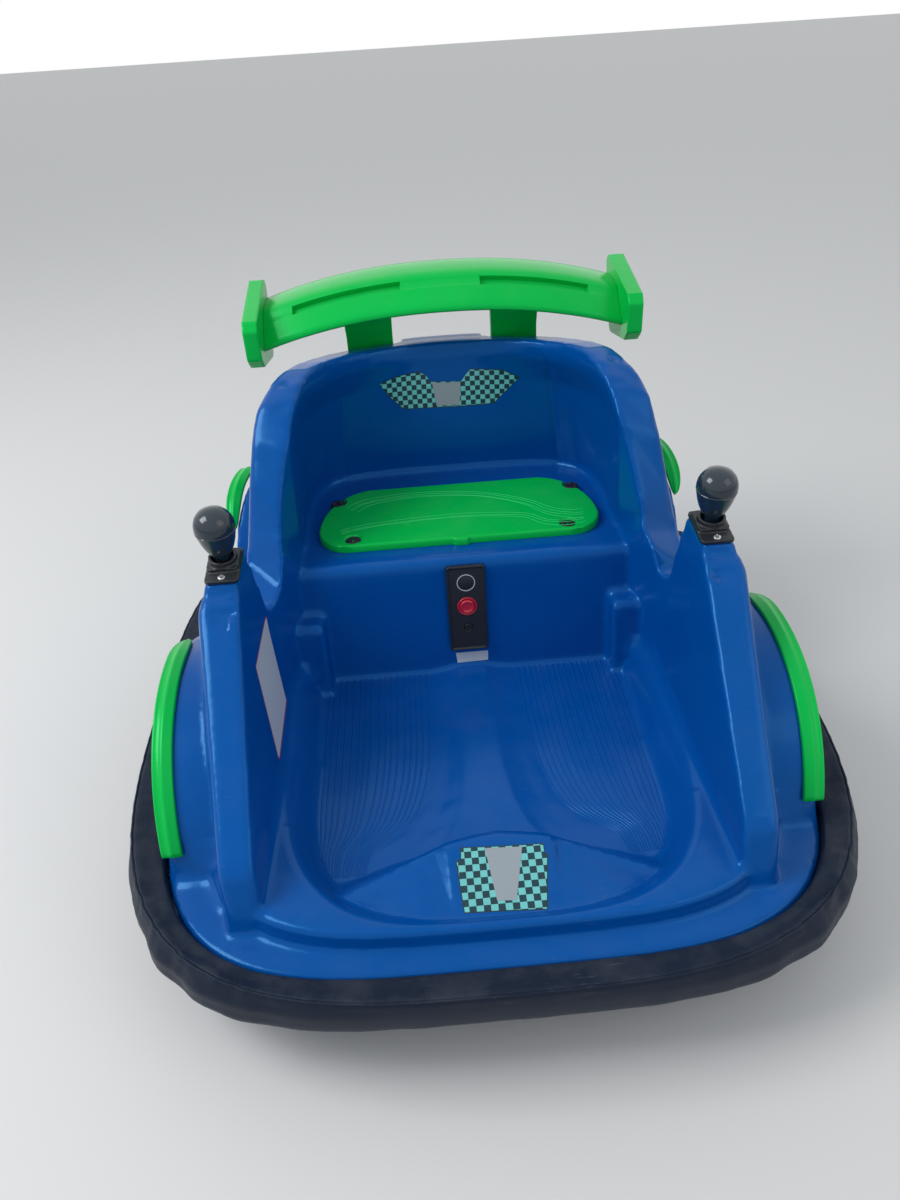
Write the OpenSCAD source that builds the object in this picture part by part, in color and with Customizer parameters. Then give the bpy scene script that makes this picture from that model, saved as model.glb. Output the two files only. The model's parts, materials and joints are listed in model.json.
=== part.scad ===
// Small child's ride-on bumper car: tub body on two driven wheels and two casters.
// Millimetres. X to the right seen from the front, front at -Y, Z up, floor at Z = 0.

/* [Bumper and flange] */

// Half width of the body flange that the bumper surrounds
flange_half_w = 290; // [280:1:310]
// Half length of the body flange
flange_half_l = 332; // [322:1:360]
// Width of the soft bumper at the sides
bumper_side_w = 35; // [28:1:45]
// Width of the soft bumper at the front and back
bumper_end_w = 28; // [24:1:40]
// Height of the flange's top face
flange_top = 95; // [85:1:105]
// Height of the body's underside
body_bottom = 62; // [56:1:70]
// Lowest height of the bumper
bumper_bottom = 62; // [56:1:66]
// Height of the sewn seam at the bumper's upper outer edge
seam_height = 104; // [98:1:112]

/* [Tub] */

// Height of the foot well's floor
floor_z = 80; // [74:1:88]
// Height of the rolled lip across the front
lip_z = 112; // [104:1:120]
// Half width of the floor
floor_half_w = 160; // [140:1:175]
// Height of the crest of the raised deck in front of the feet
hump_z = 121; // [112:1:128]
// Height of the bench below the seat plate
bench_z = 210; // [190:1:225]
// Place of the bench's front wall at bench height
bench_front_y = 57; // [45:1:70]
// Half width between the walls at the seat
seat_half_w = 168; // [150:1:180]
// Highest point of the seat back's rim, at its two sides
back_rim_z = 376; // [360:1:400]

// Height of the shoulder behind the rim
shoulder_z = 357; // [350:1:359]
// Radius of the rolled edges of the flange, the lip and the consoles
roll_r = 5; // [3:0.5:6]

/* [Side consoles] */

// Distance of the console's inner edge from the middle
console_in = 201; // [190:1:210]
// Distance of the console's outer edge from the middle
console_out = 232; // [224:1:240]
// Height of the console's pad for the joystick
console_z = 281; // [260:1:300]
// Half width over the wheel haunches
haunch_half_w = 256; // [245:1:262]

/* [Spoiler] */

// Height of the wing's rear edge in the middle
wing_top = 443; // [430:1:470]
// Half length of the wing
wing_half_w = 193; // [180:1:215]
// Place of the wing's rear edge
wing_rear_y = 318; // [300:1:335]
// Drop of the wing from its middle to its ends
wing_drop = 28; // [20:1:36]
// Depth of the two slots in the wing
slot_depth = 3; // [2:0.5:4]
// Thickness of an end plate
end_t = 16; // [10:0.5:20]
// Width of a strut
strut_w = 52; // [40:1:70]

/* [Fenders] */

// Radius of the front wheel arch
arch_r = 159; // [152:1:165]
// Height of the rear wheel arch above its middle
rear_arch_h = 134; // [126:1:140]
// Width of a fender strip
fender_w = 17; // [14:1:22]
// Height of a fender strip's middle ridge above the arch
fender_rise = 6; // [4:0.5:8]

/* [Seat and controls] */

// Length of the seat plate from side to side
seat_w = 302; // [270:1:320]
// Depth of the seat plate
seat_d = 124; // [110:1:140]
// Thickness of the seat plate
seat_t = 8; // [5:0.5:12]
// Width of the control panel
panel_w = 40; // [32:1:50]
// Height of the control panel
panel_h = 98; // [84:1:106]
// Diameter of the power button
button_d = 16; // [12:0.5:20]
// Diameter of a joystick's knob
knob_d = 36; // [32:1:42]
// Height of the knob's centre above its base
knob_rise = 35; // [32:1:50]
// Diameter of a joystick's lever
lever_d = 12; // [8:0.5:16]

/* [Running gear] */

// Diameter of a driven wheel over its tyre
drive_d = 104; // [90:1:112]
// Width of a driven tyre
drive_w = 30; // [24:1:34]
// Distance of a driven wheel's middle plane from the car's middle
drive_x = 218; // [212:1:222]
// Place of the driven wheels along the car
drive_y = 60; // [45:1:70]
// Diameter of a driven wheel's axle
axle_d = 10; // [8:0.5:12]
// Diameter of a caster's wheel
caster_d = 38; // [30:1:40]
// Width of a caster's wheel
caster_w = 20; // [16:1:24]
// Distance of the casters' swivels from the car's middle
caster_y = 245; // [220:1:255]
// Trail of a caster's wheel behind its swivel
caster_trail = 16; // [10:1:22]
// Length of the battery
battery_l = 150; // [120:1:170]

/* [Fits] */

// Gap between pieces that are fastened together
seat_gap = 0.3; // [0.3:0.05:0.5]
// Radial clearance of a pin that turns in its bore
run_fit = 0.05; // [0.02:0.01:0.1]

/* [Hidden] */

$fn = 48;
eps = 0.01;
ring_count = 72;
bumper_half_w = flange_half_w + bumper_side_w;
bumper_half_l = flange_half_l + bumper_end_w;
lip_front = flange_half_l - 23;
lip_back = flange_half_l - 20;
skin_half_w = haunch_half_w + 1;
skin_half_l = flange_half_l - 10;
skin_n = 5;
drum_x = skin_half_w + 12;
pan_bottom = body_bottom - 8;
drive_z = drive_d / 2;
caster_z = caster_d / 2;
caster_top = pan_bottom;
console_mid = (console_in + console_out) / 2;
pad_front_y = -64;
pad_back_y = -15;
joy_y = (pad_front_y + pad_back_y) / 2;
pad_tilt = atan2(6, pad_back_y - pad_front_y);
panel_tilt = 8;
panel_z = 155;
back_y = 100;
axle_r = axle_d / 2;
motor_d = 34;
motor_l = 62;
pivot_rise = 7.5;
pivot_r = 2.5;
strut_x = 82;
strut_y = 287;
strut_t = 14;
strut_foot_z = shoulder_z - 10;
strut_knee = max(shoulder_z, back_rim_z - 4);
battery_y = 158;
battery_w = 70;
basin_y = -100;
tunnel_h = 6;
post_x = 160;
post_z = 160;
post_d = 24;
seat_front_y = 87;
fixing_d = 12;
strip_gap = seat_gap + 0.2;
slot_from = 43;
slot_to = 160;

// Wheel arches of each side: middle y, middle z, reach to the front, reach to the back, height
front_arch = [-76, 42, arch_r, arch_r, arch_r];
rear_arch = [250, 100, 106, 40, rear_arch_h];

// Place of the bench's front wall at a height
function wall_y(z) = bench_front_y - (bench_z - z) * tan(panel_tilt);

function signed_power(v, p) = sign(v) * pow(abs(v), p);

// Oval with squared corners: half width, reach to the front and back, squareness, middle, height
function oval(a, front, back, n, yc, z) = [
  for (i = [0:ring_count - 1])
    let (t = 360 * i / ring_count)
    [a * signed_power(cos(t), 2 / n), yc + (sin(t) < 0 ? front : back) * signed_power(sin(t), 2 / n), z]
];

// Rings of an oval's upper edge, rolled over with a radius
function rolled(a, front, back, n, yc, z, r) = [
  for (t = [0:30:90])
    let (inset = r * (1 - cos(t)))
    oval(a - inset, front - inset, back - inset, n, yc, z - r + r * sin(t))
];

// Point of a wheel arch at an angle, grown by a height
function arch_point(arch, t, grow) = [
  arch[0] + ((cos(t) < 0 ? arch[2] : arch[3]) + grow) * cos(t),
  arch[1] + (arch[4] + grow) * sin(t)
];

// Half width of the side skin at a place along the car
function skin_x(y) = skin_half_w * pow(1 - pow(min(1, abs(y) / skin_half_l), skin_n), 1 / skin_n);

// Solid through a list of rings from the lowest to the highest
module loft(rings) {
  count = len(rings[0]);
  last = len(rings) - 1;
  points = [for (ring = rings) for (p = ring) p];
  bottom = [for (i = [0:count - 1]) i];
  top = [for (i = [count - 1:-1:0]) last * count + i];
  lower = [for (k = [0:last - 1]) for (i = [0:count - 1])
    [k * count + i, (k + 1) * count + i, (k + 1) * count + (i + 1) % count]];
  upper = [for (k = [0:last - 1]) for (i = [0:count - 1])
    [k * count + i, (k + 1) * count + (i + 1) % count, k * count + (i + 1) % count]];
  polyhedron(points = points, faces = concat([bottom, top], lower, upper), convexity = 6);
}

// Plate standing along the car: a shape drawn as y and z, with a thickness along x
module side_plate(thickness) {
  rotate([90, 0, 90])
    linear_extrude(height = thickness, center = true, convexity = 4)
      children();
}

module both_sides() {
  children();
  mirror([1, 0, 0]) children();
}

module rounded_rect(w, d, r) {
  union() {
    square([w - 2 * r, d], center = true);
    square([w, d - 2 * r], center = true);
    for (sx = [-1, 1], sy = [-1, 1])
      translate([sx * (w / 2 - r), sy * (d / 2 - r)]) circle(r = r);
  }
}

// Stations of a console from the front foot to its back: y, height, inner x, outer x
console_stations = [
  [-285, flange_top - 2, console_in - 11, console_out - 18],
  [-264, 140, console_in - 11, console_out - 14],
  [-256, 148, console_in - 11, console_out - 13],
  [-80, console_z - 16, console_in, console_out + 6],
  [pad_front_y - 5, console_z - 11, console_in, console_out + 5],
  [pad_front_y - 1, console_z - 10, console_in, console_out + 3],
  [pad_front_y, console_z - 3, console_in, console_out + 1],
  [pad_back_y, console_z + 3, console_in, console_out + 1],
  [pad_back_y + 3, console_z - 8, console_in - 1, console_out],
  [-1, bench_z - 4, console_in - 3, console_out - 2]
];

// Outer half width of a console's flank, which narrows towards the front
function flank_x(y) = haunch_half_w - 10 - max(0, -200 - y) * 0.4;

function console_section(s) =
  let (low = max(flange_top - 5, s[1] - 62))
  [
    [s[2], s[0], s[1] - roll_r * 0.6],
    [s[2] + roll_r * 0.6, s[0], s[1]],
    [s[3] - roll_r, s[0], s[1]],
    [s[3] - roll_r * 0.3, s[0], s[1] - roll_r * 0.3],
    [s[3], s[0], s[1] - roll_r],
    [max(s[3] + 1, (s[3] + flank_x(s[0])) / 2), s[0], (s[1] + low) / 2 - 3],
    [max(s[3] + 2, flank_x(s[0]) - 2), s[0], low - 8],
    [max(s[3] + 3, flank_x(s[0])), s[0], flange_top - 14],
    [150, s[0], flange_top - 14]
  ];

module console() {
  difference() {
    loft([for (s = console_stations) console_section(s)]);
    hull() {
      translate([console_mid - 10, pad_front_y - 8, console_z - 10]) cube([20, 6, 5]);
      translate([console_mid - 8, pad_front_y - 7, console_z - 13]) cube([16, 4, 4]);
    }
  }
}

module haunch_profile() {
  intersection() {
    union() {
      translate([front_arch[0], front_arch[1]]) circle(r = arch_r - 4);
      polygon([for (t = [0:6:354]) arch_point(rear_arch, t, 0)]);
      translate([25, 130]) square([340, 60], center = true);
    }
    translate([-320, flange_top - 3]) square([640, 260]);
  }
}

module outer_skirt() {
  loft(concat(
    [oval(flange_half_w - 6, flange_half_l - 6, flange_half_l - 6, 4, 0, body_bottom),
      oval(flange_half_w, flange_half_l, flange_half_l, 4, 0, body_bottom + 5)],
    rolled(flange_half_w, flange_half_l, flange_half_l, 4, 0, flange_top, roll_r)
  ));
}

module lip_wall() {
  loft(concat(
    [oval(haunch_half_w + 4, lip_front + 4, lip_back + 4, 4, 0, flange_top - 3),
      oval(haunch_half_w + 3, lip_front + 3, lip_back + 3, 4, 0, flange_top + 1),
      oval(haunch_half_w, lip_front, lip_back, 4, 0, flange_top + 4)],
    rolled(haunch_half_w - 1, lip_front - 1, lip_back - 1, 4, 0, lip_z, roll_r + 1)
  ));
}

module haunches() {
  intersection() {
    loft([
      oval(skin_half_w, skin_half_l, skin_half_l, skin_n, 0, flange_top - 3),
      oval(skin_half_w, skin_half_l, skin_half_l, skin_n, 0, flange_top + 40),
      oval(skin_half_w - 4, skin_half_l - 4, skin_half_l - 4, skin_n, 0, 200),
      oval(skin_half_w - 14, skin_half_l - 14, skin_half_l - 14, skin_n, 0, 250)
    ]);
    side_plate(600) haunch_profile();
  }
}

// Drum of the front wheel arch, which stands out from the haunch and carries the fender strip
module front_bulge() {
  intersection() {
    translate([0, front_arch[0], front_arch[1]])
      rotate([0, 90, 0])
        difference() {
          union() {
            cylinder(r = arch_r, h = drum_x, $fn = 120);
            translate([0, 0, drum_x - eps])
              cylinder(r1 = arch_r, r2 = arch_r - 5, h = 4, $fn = 120);
          }
          translate([0, 0, drum_x])
            cylinder(r1 = arch_r - 26, r2 = arch_r - 22, h = 6, $fn = 120);
        }
    translate([200, -flange_half_l, flange_top - 3]) cube([90, 2 * flange_half_l, 200]);
  }
}

// Height of the seat arms and rim along the car at the inner and the outer edge: y, height
rim_inner = [
  [-1, bench_z - 4], [4, bench_z - 4], [34, 241], [50, 262], [97, 326], [135, 360], [160, 370],
  [185, back_rim_z - 1], [212, back_rim_z - 3], [240, back_rim_z - 7], [275, back_rim_z - 12],
  [340, back_rim_z - 16]
];
rim_outer = [
  [-1, bench_z - 4], [20, bench_z - 4], [62, 223], [78, 256], [99, 308], [118, 336], [140, 356],
  [185, back_rim_z - 2], [212, back_rim_z - 4], [240, back_rim_z - 8], [275, back_rim_z - 13],
  [340, back_rim_z - 17]
];

// Closed outline below the rim in the plane of one distance from the middle
function rim_section(x, heights) = concat(
  [[x, -1, 80], [x, 340, 80]],
  [for (i = [len(heights) - 1:-1:0]) [x, heights[i][0], heights[i][1]]]
);

module below_rim() {
  loft([
    rim_section(-260, rim_outer), rim_section(-216, rim_outer), rim_section(-163, rim_inner),
    rim_section(163, rim_inner), rim_section(216, rim_outer), rim_section(260, rim_outer)
  ]);
}

module seat_back_outer() {
  intersection() {
    loft([
      oval(240, 220, 212, 3.6, back_y, flange_top - 3),
      oval(221, 220, 205, 3, back_y, 223),
      oval(206, 220, 199, 2.4, back_y, 311),
      oval(200, 220, 197, 2.2, back_y, 350),
      oval(193, 220, 195, 2.15, back_y, 366),
      oval(186, 220, 191, 2.1, back_y, back_rim_z + 1)
    ]);
    below_rim();
  }
}

// Shoulder behind the rim, with a notch for each strut
module shoulder() {
  difference() {
    intersection() {
      loft(concat(
        [oval(238, 220, 214, 3.4, back_y, flange_top - 3),
          oval(222, 220, 219, 3, back_y, 223),
          oval(198, 220, 225, 2.5, back_y, 320)],
        rolled(189, 220, 225, 2.4, back_y, shoulder_z, roll_r)
      ));
      translate([-250, 150, 80]) cube([500, 200, 290]);
    }
    both_sides() strut_notch();
  }
}

module strut_notch() {
  hull() {
    translate([strut_x - strut_w / 2 - 4, strut_y - 6, strut_foot_z]) cube([strut_w + 8, 4, 60]);
    translate([strut_x - strut_w / 2 - 12, strut_y + 60, strut_foot_z]) cube([strut_w + 24, 4, 60]);
  }
}

// Gap that each strut keeps from the seat back
module strut_room() {
  translate([strut_x - strut_w / 2 - 4, strut_y - 2 * seat_gap, strut_foot_z])
    cube([strut_w + 8, 60, 60]);
}

module seat_hollow() {
  loft([
    oval(seat_half_w - 6, 36, 155, 5, back_y, bench_z),
    oval(seat_half_w - 2, 39, 159, 5, back_y, bench_z + 2),
    oval(seat_half_w, 40, 162, 5, back_y, bench_z + 7),
    oval(seat_half_w - 1, 40, 163, 4, back_y, 260),
    oval(seat_half_w - 4, 40, 166, 3, back_y, 320),
    oval(seat_half_w - 9, 40, 169, 2.2, back_y, 350),
    oval(seat_half_w - 11, 40, 174, 2.1, back_y, 361),
    oval(seat_half_w - 10, 40, 178, 2.1, back_y, 370),
    oval(seat_half_w - 8, 40, 180, 2.1, back_y, 420)
  ]);
  hull() {
    translate([0, 0, bench_z])
      linear_extrude(height = 1)
        polygon([[-seat_half_w, 100], [-seat_half_w, 50], [seat_half_w, 50], [seat_half_w, 100]]);
    translate([0, 0, 260])
      linear_extrude(height = 160)
        polygon([[-165, 100], [-186, 30], [-186, 20], [186, 20], [186, 30], [165, 100]]);
  }
}

// Round-over along the bench's front edge
module bench_edge() {
  side_plate(2 * seat_half_w + 4)
    polygon([
      [wall_y(bench_z - 8) - 3, bench_z - 8], [wall_y(bench_z - 8), bench_z - 8],
      [wall_y(bench_z - 3) + 1.5, bench_z - 3], [bench_front_y + 4, bench_z - 0.8],
      [bench_front_y + 9, bench_z], [bench_front_y + 9, bench_z + 3], [wall_y(bench_z) - 3, bench_z + 3]
    ]);
}

module foot_space() {
  hull() {
    translate([0, 0, lip_z])
      linear_extrude(height = 1)
        polygon([[-187, -400], [187, -400], [187, -10], [171, wall_y(lip_z)],
          [-171, wall_y(lip_z)], [-187, -10]]);
    translate([0, 0, console_z + 15])
      linear_extrude(height = 1)
        polygon([[-205, -400], [205, -400], [205, -20], [186, 40], [172, wall_y(console_z + 15)],
          [-172, wall_y(console_z + 15)], [-186, 40], [-205, -20]]);
  }
}

// Foot well with a round-over at its floor and a rolled upper edge
module foot_basin() {
  loft([
    oval(floor_half_w - 6, 157, 89 + wall_y(floor_z), 4, basin_y, floor_z),
    oval(floor_half_w - 1, 163, 94 + wall_y(floor_z), 4, basin_y, floor_z + 2),
    oval(floor_half_w + 2, 168, 95 + wall_y(floor_z), 3.9, basin_y, floor_z + 6),
    oval(floor_half_w + 14, 194, 95 + wall_y(lip_z), 3.3, basin_y, lip_z - 6),
    oval(floor_half_w + 17, 199, 95 + wall_y(lip_z), 3.2, basin_y, lip_z - 2),
    oval(floor_half_w + 22, 205, 95 + wall_y(lip_z), 3.1, basin_y, lip_z),
    oval(floor_half_w + 24, 208, 95 + wall_y(lip_z), 3.1, basin_y, lip_z + 1)
  ]);
  hull() {
    translate([0, 0, floor_z])
      linear_extrude(height = 0.01)
        polygon([[-floor_half_w, -90], [floor_half_w, -90], [floor_half_w, wall_y(floor_z)],
          [-floor_half_w, wall_y(floor_z)]]);
    translate([0, 0, lip_z + 1])
      linear_extrude(height = 0.01)
        polygon([[-177, -90], [177, -90], [177, -10], [171, wall_y(lip_z + 1)],
          [-171, wall_y(lip_z + 1)], [-177, -10]]);
  }
}

// Line across the raised deck from its middle to its side: x, share of the height lost
deck_fall = [[0, 0], [41, 0.02], [50, 0.1], [66, 0.2], [100, 0.4], [138, 0.62], [150, 0.75]];

// Height of the deck's crest at a distance from the middle, and the crest's place
function deck_z(x) = hump_z - (hump_z - floor_z) * lookup(abs(x), deck_fall);
function crest_y(x) = -222 - 34 * pow(abs(x) / 138, 1.3);

// Slice of the deck along the car, from its foot in the well over the crest to the front lip
function deck_section(x) = [
  [x, crest_y(x) + 24, floor_z - 2],
  [x, crest_y(x) + 12, floor_z + (deck_z(x) - floor_z) * 0.35],
  [x, crest_y(x) + 3, deck_z(x) - 4],
  [x, crest_y(x) - 3, deck_z(x)],
  [x, crest_y(x) - 10, deck_z(x) - (abs(x) < 46 ? 0.5 : 2)],
  [x, -298 + abs(x) * 0.12, min(deck_z(x) - 2, lip_z - 5)],
  [x, -305 + abs(x) * 0.2, floor_z - 2]
];

// Raised deck in front of the feet, with its crest across the car
module front_deck() {
  intersection() {
    loft([for (x = [-150, -138, -100, -66, -50, -41, -20, 0, 20, 41, 50, 66, 100, 138, 150]) deck_section(x)]);
    loft([
      oval(floor_half_w + 10, 190, 200, 3.4, basin_y, floor_z - 2),
      oval(floor_half_w + 21, 204, 200, 3.1, basin_y, lip_z + 10)
    ]);
  }
}

// Centre tunnel, which spreads into the deck: y, half width of its top, half width of its foot
tunnel_stations = [[46, 17, 44], [-60, 18, 46], [-110, 19, 50], [-150, 23, 58], [-180, 31, 78],
  [-206, 44, 112], [-228, 52, 120]];

function tunnel_section(s) = [
  [-s[2], s[0], floor_z - 2], [s[2], s[0], floor_z - 2], [s[2], s[0], floor_z + 0.5],
  [(s[1] + s[2]) / 2, s[0], floor_z + 2], [s[1] + 3, s[0], floor_z + tunnel_h - 1.5],
  [s[1] - 3, s[0], floor_z + tunnel_h], [3 - s[1], s[0], floor_z + tunnel_h],
  [-s[1] - 3, s[0], floor_z + tunnel_h - 1.5], [-(s[1] + s[2]) / 2, s[0], floor_z + 2],
  [-s[2], s[0], floor_z + 0.5]
];

module floor_tunnel() {
  loft([for (s = tunnel_stations) tunnel_section(s)]);
}

// Square post in each rear corner of the foot well, with its back in the bench
module corner_post() {
  hull() {
    translate([post_x - 11, wall_y(floor_z) - post_d, floor_z - 1]) cube([40, post_d + 12, 1]);
    translate([post_x - 11, wall_y(post_z) - post_d, post_z - 6]) cube([40, post_d + 12, 1]);
    translate([post_x - 6, wall_y(post_z) - post_d + 5, post_z - 1]) cube([35, post_d + 7, 1]);
  }
}

module wheel_well() {
  translate([drive_x, drive_y, drive_z])
    rotate([0, 90, 0])
      cylinder(d = drive_d + 16, h = drive_w + 16, center = true);
  translate([drive_x, drive_y, 30])
    cube([drive_w + 16, drive_d + 16, 60], center = true);
}

module gear_pocket(grow) {
  translate([drive_x - 43 - grow, drive_y - 40 - grow, 26 - grow])
    cube([22 + grow + eps, 80 + 2 * grow, 58 + 2 * grow]);
  translate([drive_x - 42, drive_y + 18, drive_z + 4])
    rotate([0, -90, 0])
      cylinder(d = motor_d + 2 * grow, h = motor_l + grow);
}

module battery_bay() {
  translate([0, battery_y, 60])
    linear_extrude(height = bench_z - 70)
      square([battery_l + 8, battery_w + 18], center = true);
}

// Shallow seat in the bench's front wall for the control panel
module panel_seat() {
  on_panel()
    translate([0, 0, -1])
      linear_extrude(height = 4)
        rounded_rect(panel_w + 2 * seat_gap, panel_h + 2 * seat_gap, 3);
}

module body_shell() {
  color([0.05, 0.28, 0.68])
  difference() {
    union() {
      difference() {
        union() {
          outer_skirt();
          lip_wall();
          haunches();
          both_sides() front_bulge();
          both_sides() console();
          seat_back_outer();
          shoulder();
        }
        seat_hollow();
        bench_edge();
        foot_space();
        foot_basin();
      }
      front_deck();
      floor_tunnel();
      both_sides() corner_post();
    }
    both_sides() strut_room();
    both_sides() wheel_well();
    both_sides() gear_pocket(seat_gap);
    battery_bay();
    panel_seat();
  }
}

module chassis_pan() {
  color([0.12, 0.12, 0.13])
  difference() {
    translate([0, 0, pan_bottom])
      linear_extrude(height = 8 - eps, convexity = 6)
        polygon([for (p = oval(flange_half_w - 18, flange_half_l - 18, flange_half_l - 18, 4, 0, 0))
          [p[0], p[1]]]);
    both_sides() wheel_well();
    both_sides() gear_pocket(seat_gap);
  }
}

// Cross-section points of the bumper from the inner bottom edge round to the inner top edge:
// share of the way out, height, squareness
bumper_profile = [
  [0.012, bumper_bottom + 4, 4],
  [0.40, bumper_bottom, 3.9],
  [0.70, bumper_bottom + 2, 3.8],
  [0.88, bumper_bottom + 9, 3.7],
  [0.97, bumper_bottom + 18, 3.6],
  [1.00, bumper_bottom + 28, 3.5],
  [0.985, seam_height - 5, 3.3],
  [0.95, seam_height, 3.25],
  [0.80, seam_height + 1.5, 3.4],
  [0.40, flange_top + 6, 3.7],
  [0.012, flange_top + 1, 4]
];

function bumper_ring_points(p) =
  oval(flange_half_w + p[0] * bumper_side_w, flange_half_l + p[0] * bumper_end_w,
    flange_half_l + p[0] * bumper_end_w, p[2], 0, p[1]);

module bumper_ring() {
  rings = len(bumper_profile);
  points = [for (p = bumper_profile) for (q = bumper_ring_points(p)) q];
  first = [for (k = [0:rings - 1]) for (i = [0:ring_count - 1])
    [k * ring_count + i, ((k + 1) % rings) * ring_count + i,
      ((k + 1) % rings) * ring_count + (i + 1) % ring_count]];
  second = [for (k = [0:rings - 1]) for (i = [0:ring_count - 1])
    [k * ring_count + i, ((k + 1) % rings) * ring_count + (i + 1) % ring_count,
      k * ring_count + (i + 1) % ring_count]];
  color([0.16, 0.17, 0.19])
    polyhedron(points = points, faces = concat(first, second), convexity = 6);
}

// Elliptical arc from one angle to another
function arc(cx, cy, rx, ry, from, to) = [
  for (i = [0:8]) let (t = from + (to - from) * i / 8) [cx + rx * cos(t), cy + ry * sin(t)]
];

// Outline of the seat plate, with a small tab in the middle of its front edge
module seat_outline() {
  half = seat_w / 2;
  front = seat_front_y;
  back = seat_front_y + seat_d;
  polygon(concat(
    arc(-half + 22, front + 24, 22, 22, 180, 270),
    [[-9, front], [-6, front - 3], [6, front - 3], [9, front]],
    arc(half - 22, front + 24, 22, 22, 270, 360),
    arc(half - 60, front + 36, 60, back - front - 36, 0, 90),
    arc(60 - half, front + 36, 60, back - front - 36, 90, 180)
  ));
}

// Fixings through the plate near its front corners, and at its rear corners: x, y
front_fixings = [[-114, 101], [114, 101]];
rear_fixings = [[-133, 186], [133, 186]];

module seat_plate() {
  color([0.0, 0.75, 0.25])
  difference() {
    translate([0, 0, bench_z + seat_gap])
      linear_extrude(height = seat_t)
        seat_outline();
    for (s = front_fixings)
      translate([s[0], s[1], bench_z + seat_t - 2])
        cylinder(d = fixing_d + 1, h = 10);
    for (s = rear_fixings)
      translate([s[0], s[1], bench_z - 1])
        cylinder(d = fixing_d + 3, h = 20);
  }
}

module seat_fixings() {
  color([0.08, 0.08, 0.09]) {
    for (s = front_fixings)
      translate([s[0], s[1], bench_z + seat_t - 2 + seat_gap])
        cylinder(d = fixing_d, h = 4);
    for (s = rear_fixings)
      translate([s[0], s[1], bench_z + seat_gap])
        cylinder(d = fixing_d + 2, h = seat_t - 1);
  }
}

module on_panel() {
  translate([0, wall_y(panel_z), panel_z])
    rotate([90 - panel_tilt, 0, 0])
      children();
}

module control_panel() {
  color([0.07, 0.07, 0.08])
  on_panel()
    difference() {
      translate([0, 0, seat_gap - 1])
        linear_extrude(height = 5)
          rounded_rect(panel_w, panel_h, 3);
      translate([0, 0, 3.3])
        linear_extrude(height = 3)
          rounded_rect(panel_w - 4, panel_h - 4, 2);
      translate([0, 3, -2]) cylinder(d = button_d + 2 * run_fit + 0.2, h = 10);
      translate([0, -22, 2]) cylinder(d = 9.2, h = 10);
    }
}

module power_button() {
  color([0.75, 0.1, 0.12])
  on_panel()
    translate([0, 3, seat_gap - 1]) {
      cylinder(d = button_d, h = 6.5);
      translate([0, 0, 6]) cylinder(d = button_d - 5, h = 3);
    }
}

module charge_socket() {
  color([0.2, 0.2, 0.2])
  on_panel()
    translate([0, -22, 2 + seat_gap])
      difference() {
        cylinder(d = 8.6, h = 1.6);
        translate([0, 0, 0.6]) cylinder(d = 4, h = 3);
      }
}

module on_pad() {
  translate([console_mid, joy_y, console_z])
    rotate([pad_tilt, 0, 0])
      children();
}

module joystick_base() {
  color([0.08, 0.08, 0.09])
  on_pad()
    difference() {
      union() {
        translate([0, 0, seat_gap])
          linear_extrude(height = 3.5) rounded_rect(30, 47, 4);
        translate([0, 4, seat_gap])
          linear_extrude(height = 7) rounded_rect(28, 30, 5);
        translate([0, 2, 2])
          cylinder(d = 25, h = pivot_rise + 3);
      }
      translate([0, 2, -1]) cylinder(d = lever_d + 8, h = pivot_rise + 10);
      translate([0, 2, pivot_rise])
        rotate([0, 90, 0]) cylinder(r = pivot_r + run_fit, h = 24, center = true);
    }
}

// Half outline of the lever with its pear knob, from the pivot up
module lever_half() {
  difference() {
    union() {
      circle(d = lever_d);
      translate([0, knob_rise]) circle(d = knob_d);
      polygon([[0, 0], [lever_d / 2, 0], [lever_d / 2, 6], [lever_d / 2 + 2.5, 11],
        [knob_d * 0.465, knob_rise - 6], [0, knob_rise]]);
    }
    translate([-knob_d, -10]) square([knob_d, knob_rise + knob_d + 20]);
  }
}

module joystick() {
  color([0.05, 0.05, 0.06])
  on_pad()
    translate([0, 2, pivot_rise]) {
      rotate_extrude() lever_half();
      rotate([0, 90, 0]) cylinder(r = pivot_r, h = 23.4, center = true);
    }
}

// Section of a fender strip at an angle of its arch: offset from the skin, width, ridge height
function strip_section(arch, t, offset, width, rise) =
  let (inner = skin_x(arch_point(arch, t, 0)[0]) + offset,
    corners = [[width, strip_gap], [0, strip_gap], [0, rise * 0.6], [width * 0.45, rise],
      [width * 0.9, rise * 0.7], [width, rise * 0.55]])
  [for (c = corners) let (p = arch_point(arch, t, c[1])) [inner + c[0], p[0], p[1]]];

// Fender strip from its foot to its tip: foot and tip angle, offset of its inner edge at foot and tip
module fender_strip(arch, foot, tip, foot_offset, tip_offset) {
  steps = 24;
  color([0.0, 0.75, 0.25])
    loft([for (i = [0:steps])
      let (k = foot > tip ? i : steps - i,
        s = k / steps,
        full = s < 0.84 ? 1 : max(0.12, sqrt(1 - pow((s - 0.84) / 0.16, 2))))
      strip_section(arch, foot + (tip - foot) * s,
        foot_offset + (tip_offset - foot_offset) * s + fender_w * (1 - full) * 0.3,
        fender_w * full, 2 + (fender_rise - 2) * full)]);
}

module fender_front() {
  fender_strip(front_arch, 152, 70, 8, 7);
}

module fender_rear() {
  fender_strip(rear_arch, 8, 133, -8, -8);
}

// Height of the wing's rear edge at a distance from the middle
function crown(x) = wing_top - wing_drop * pow(abs(x) / wing_half_w, 2.2);

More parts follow.
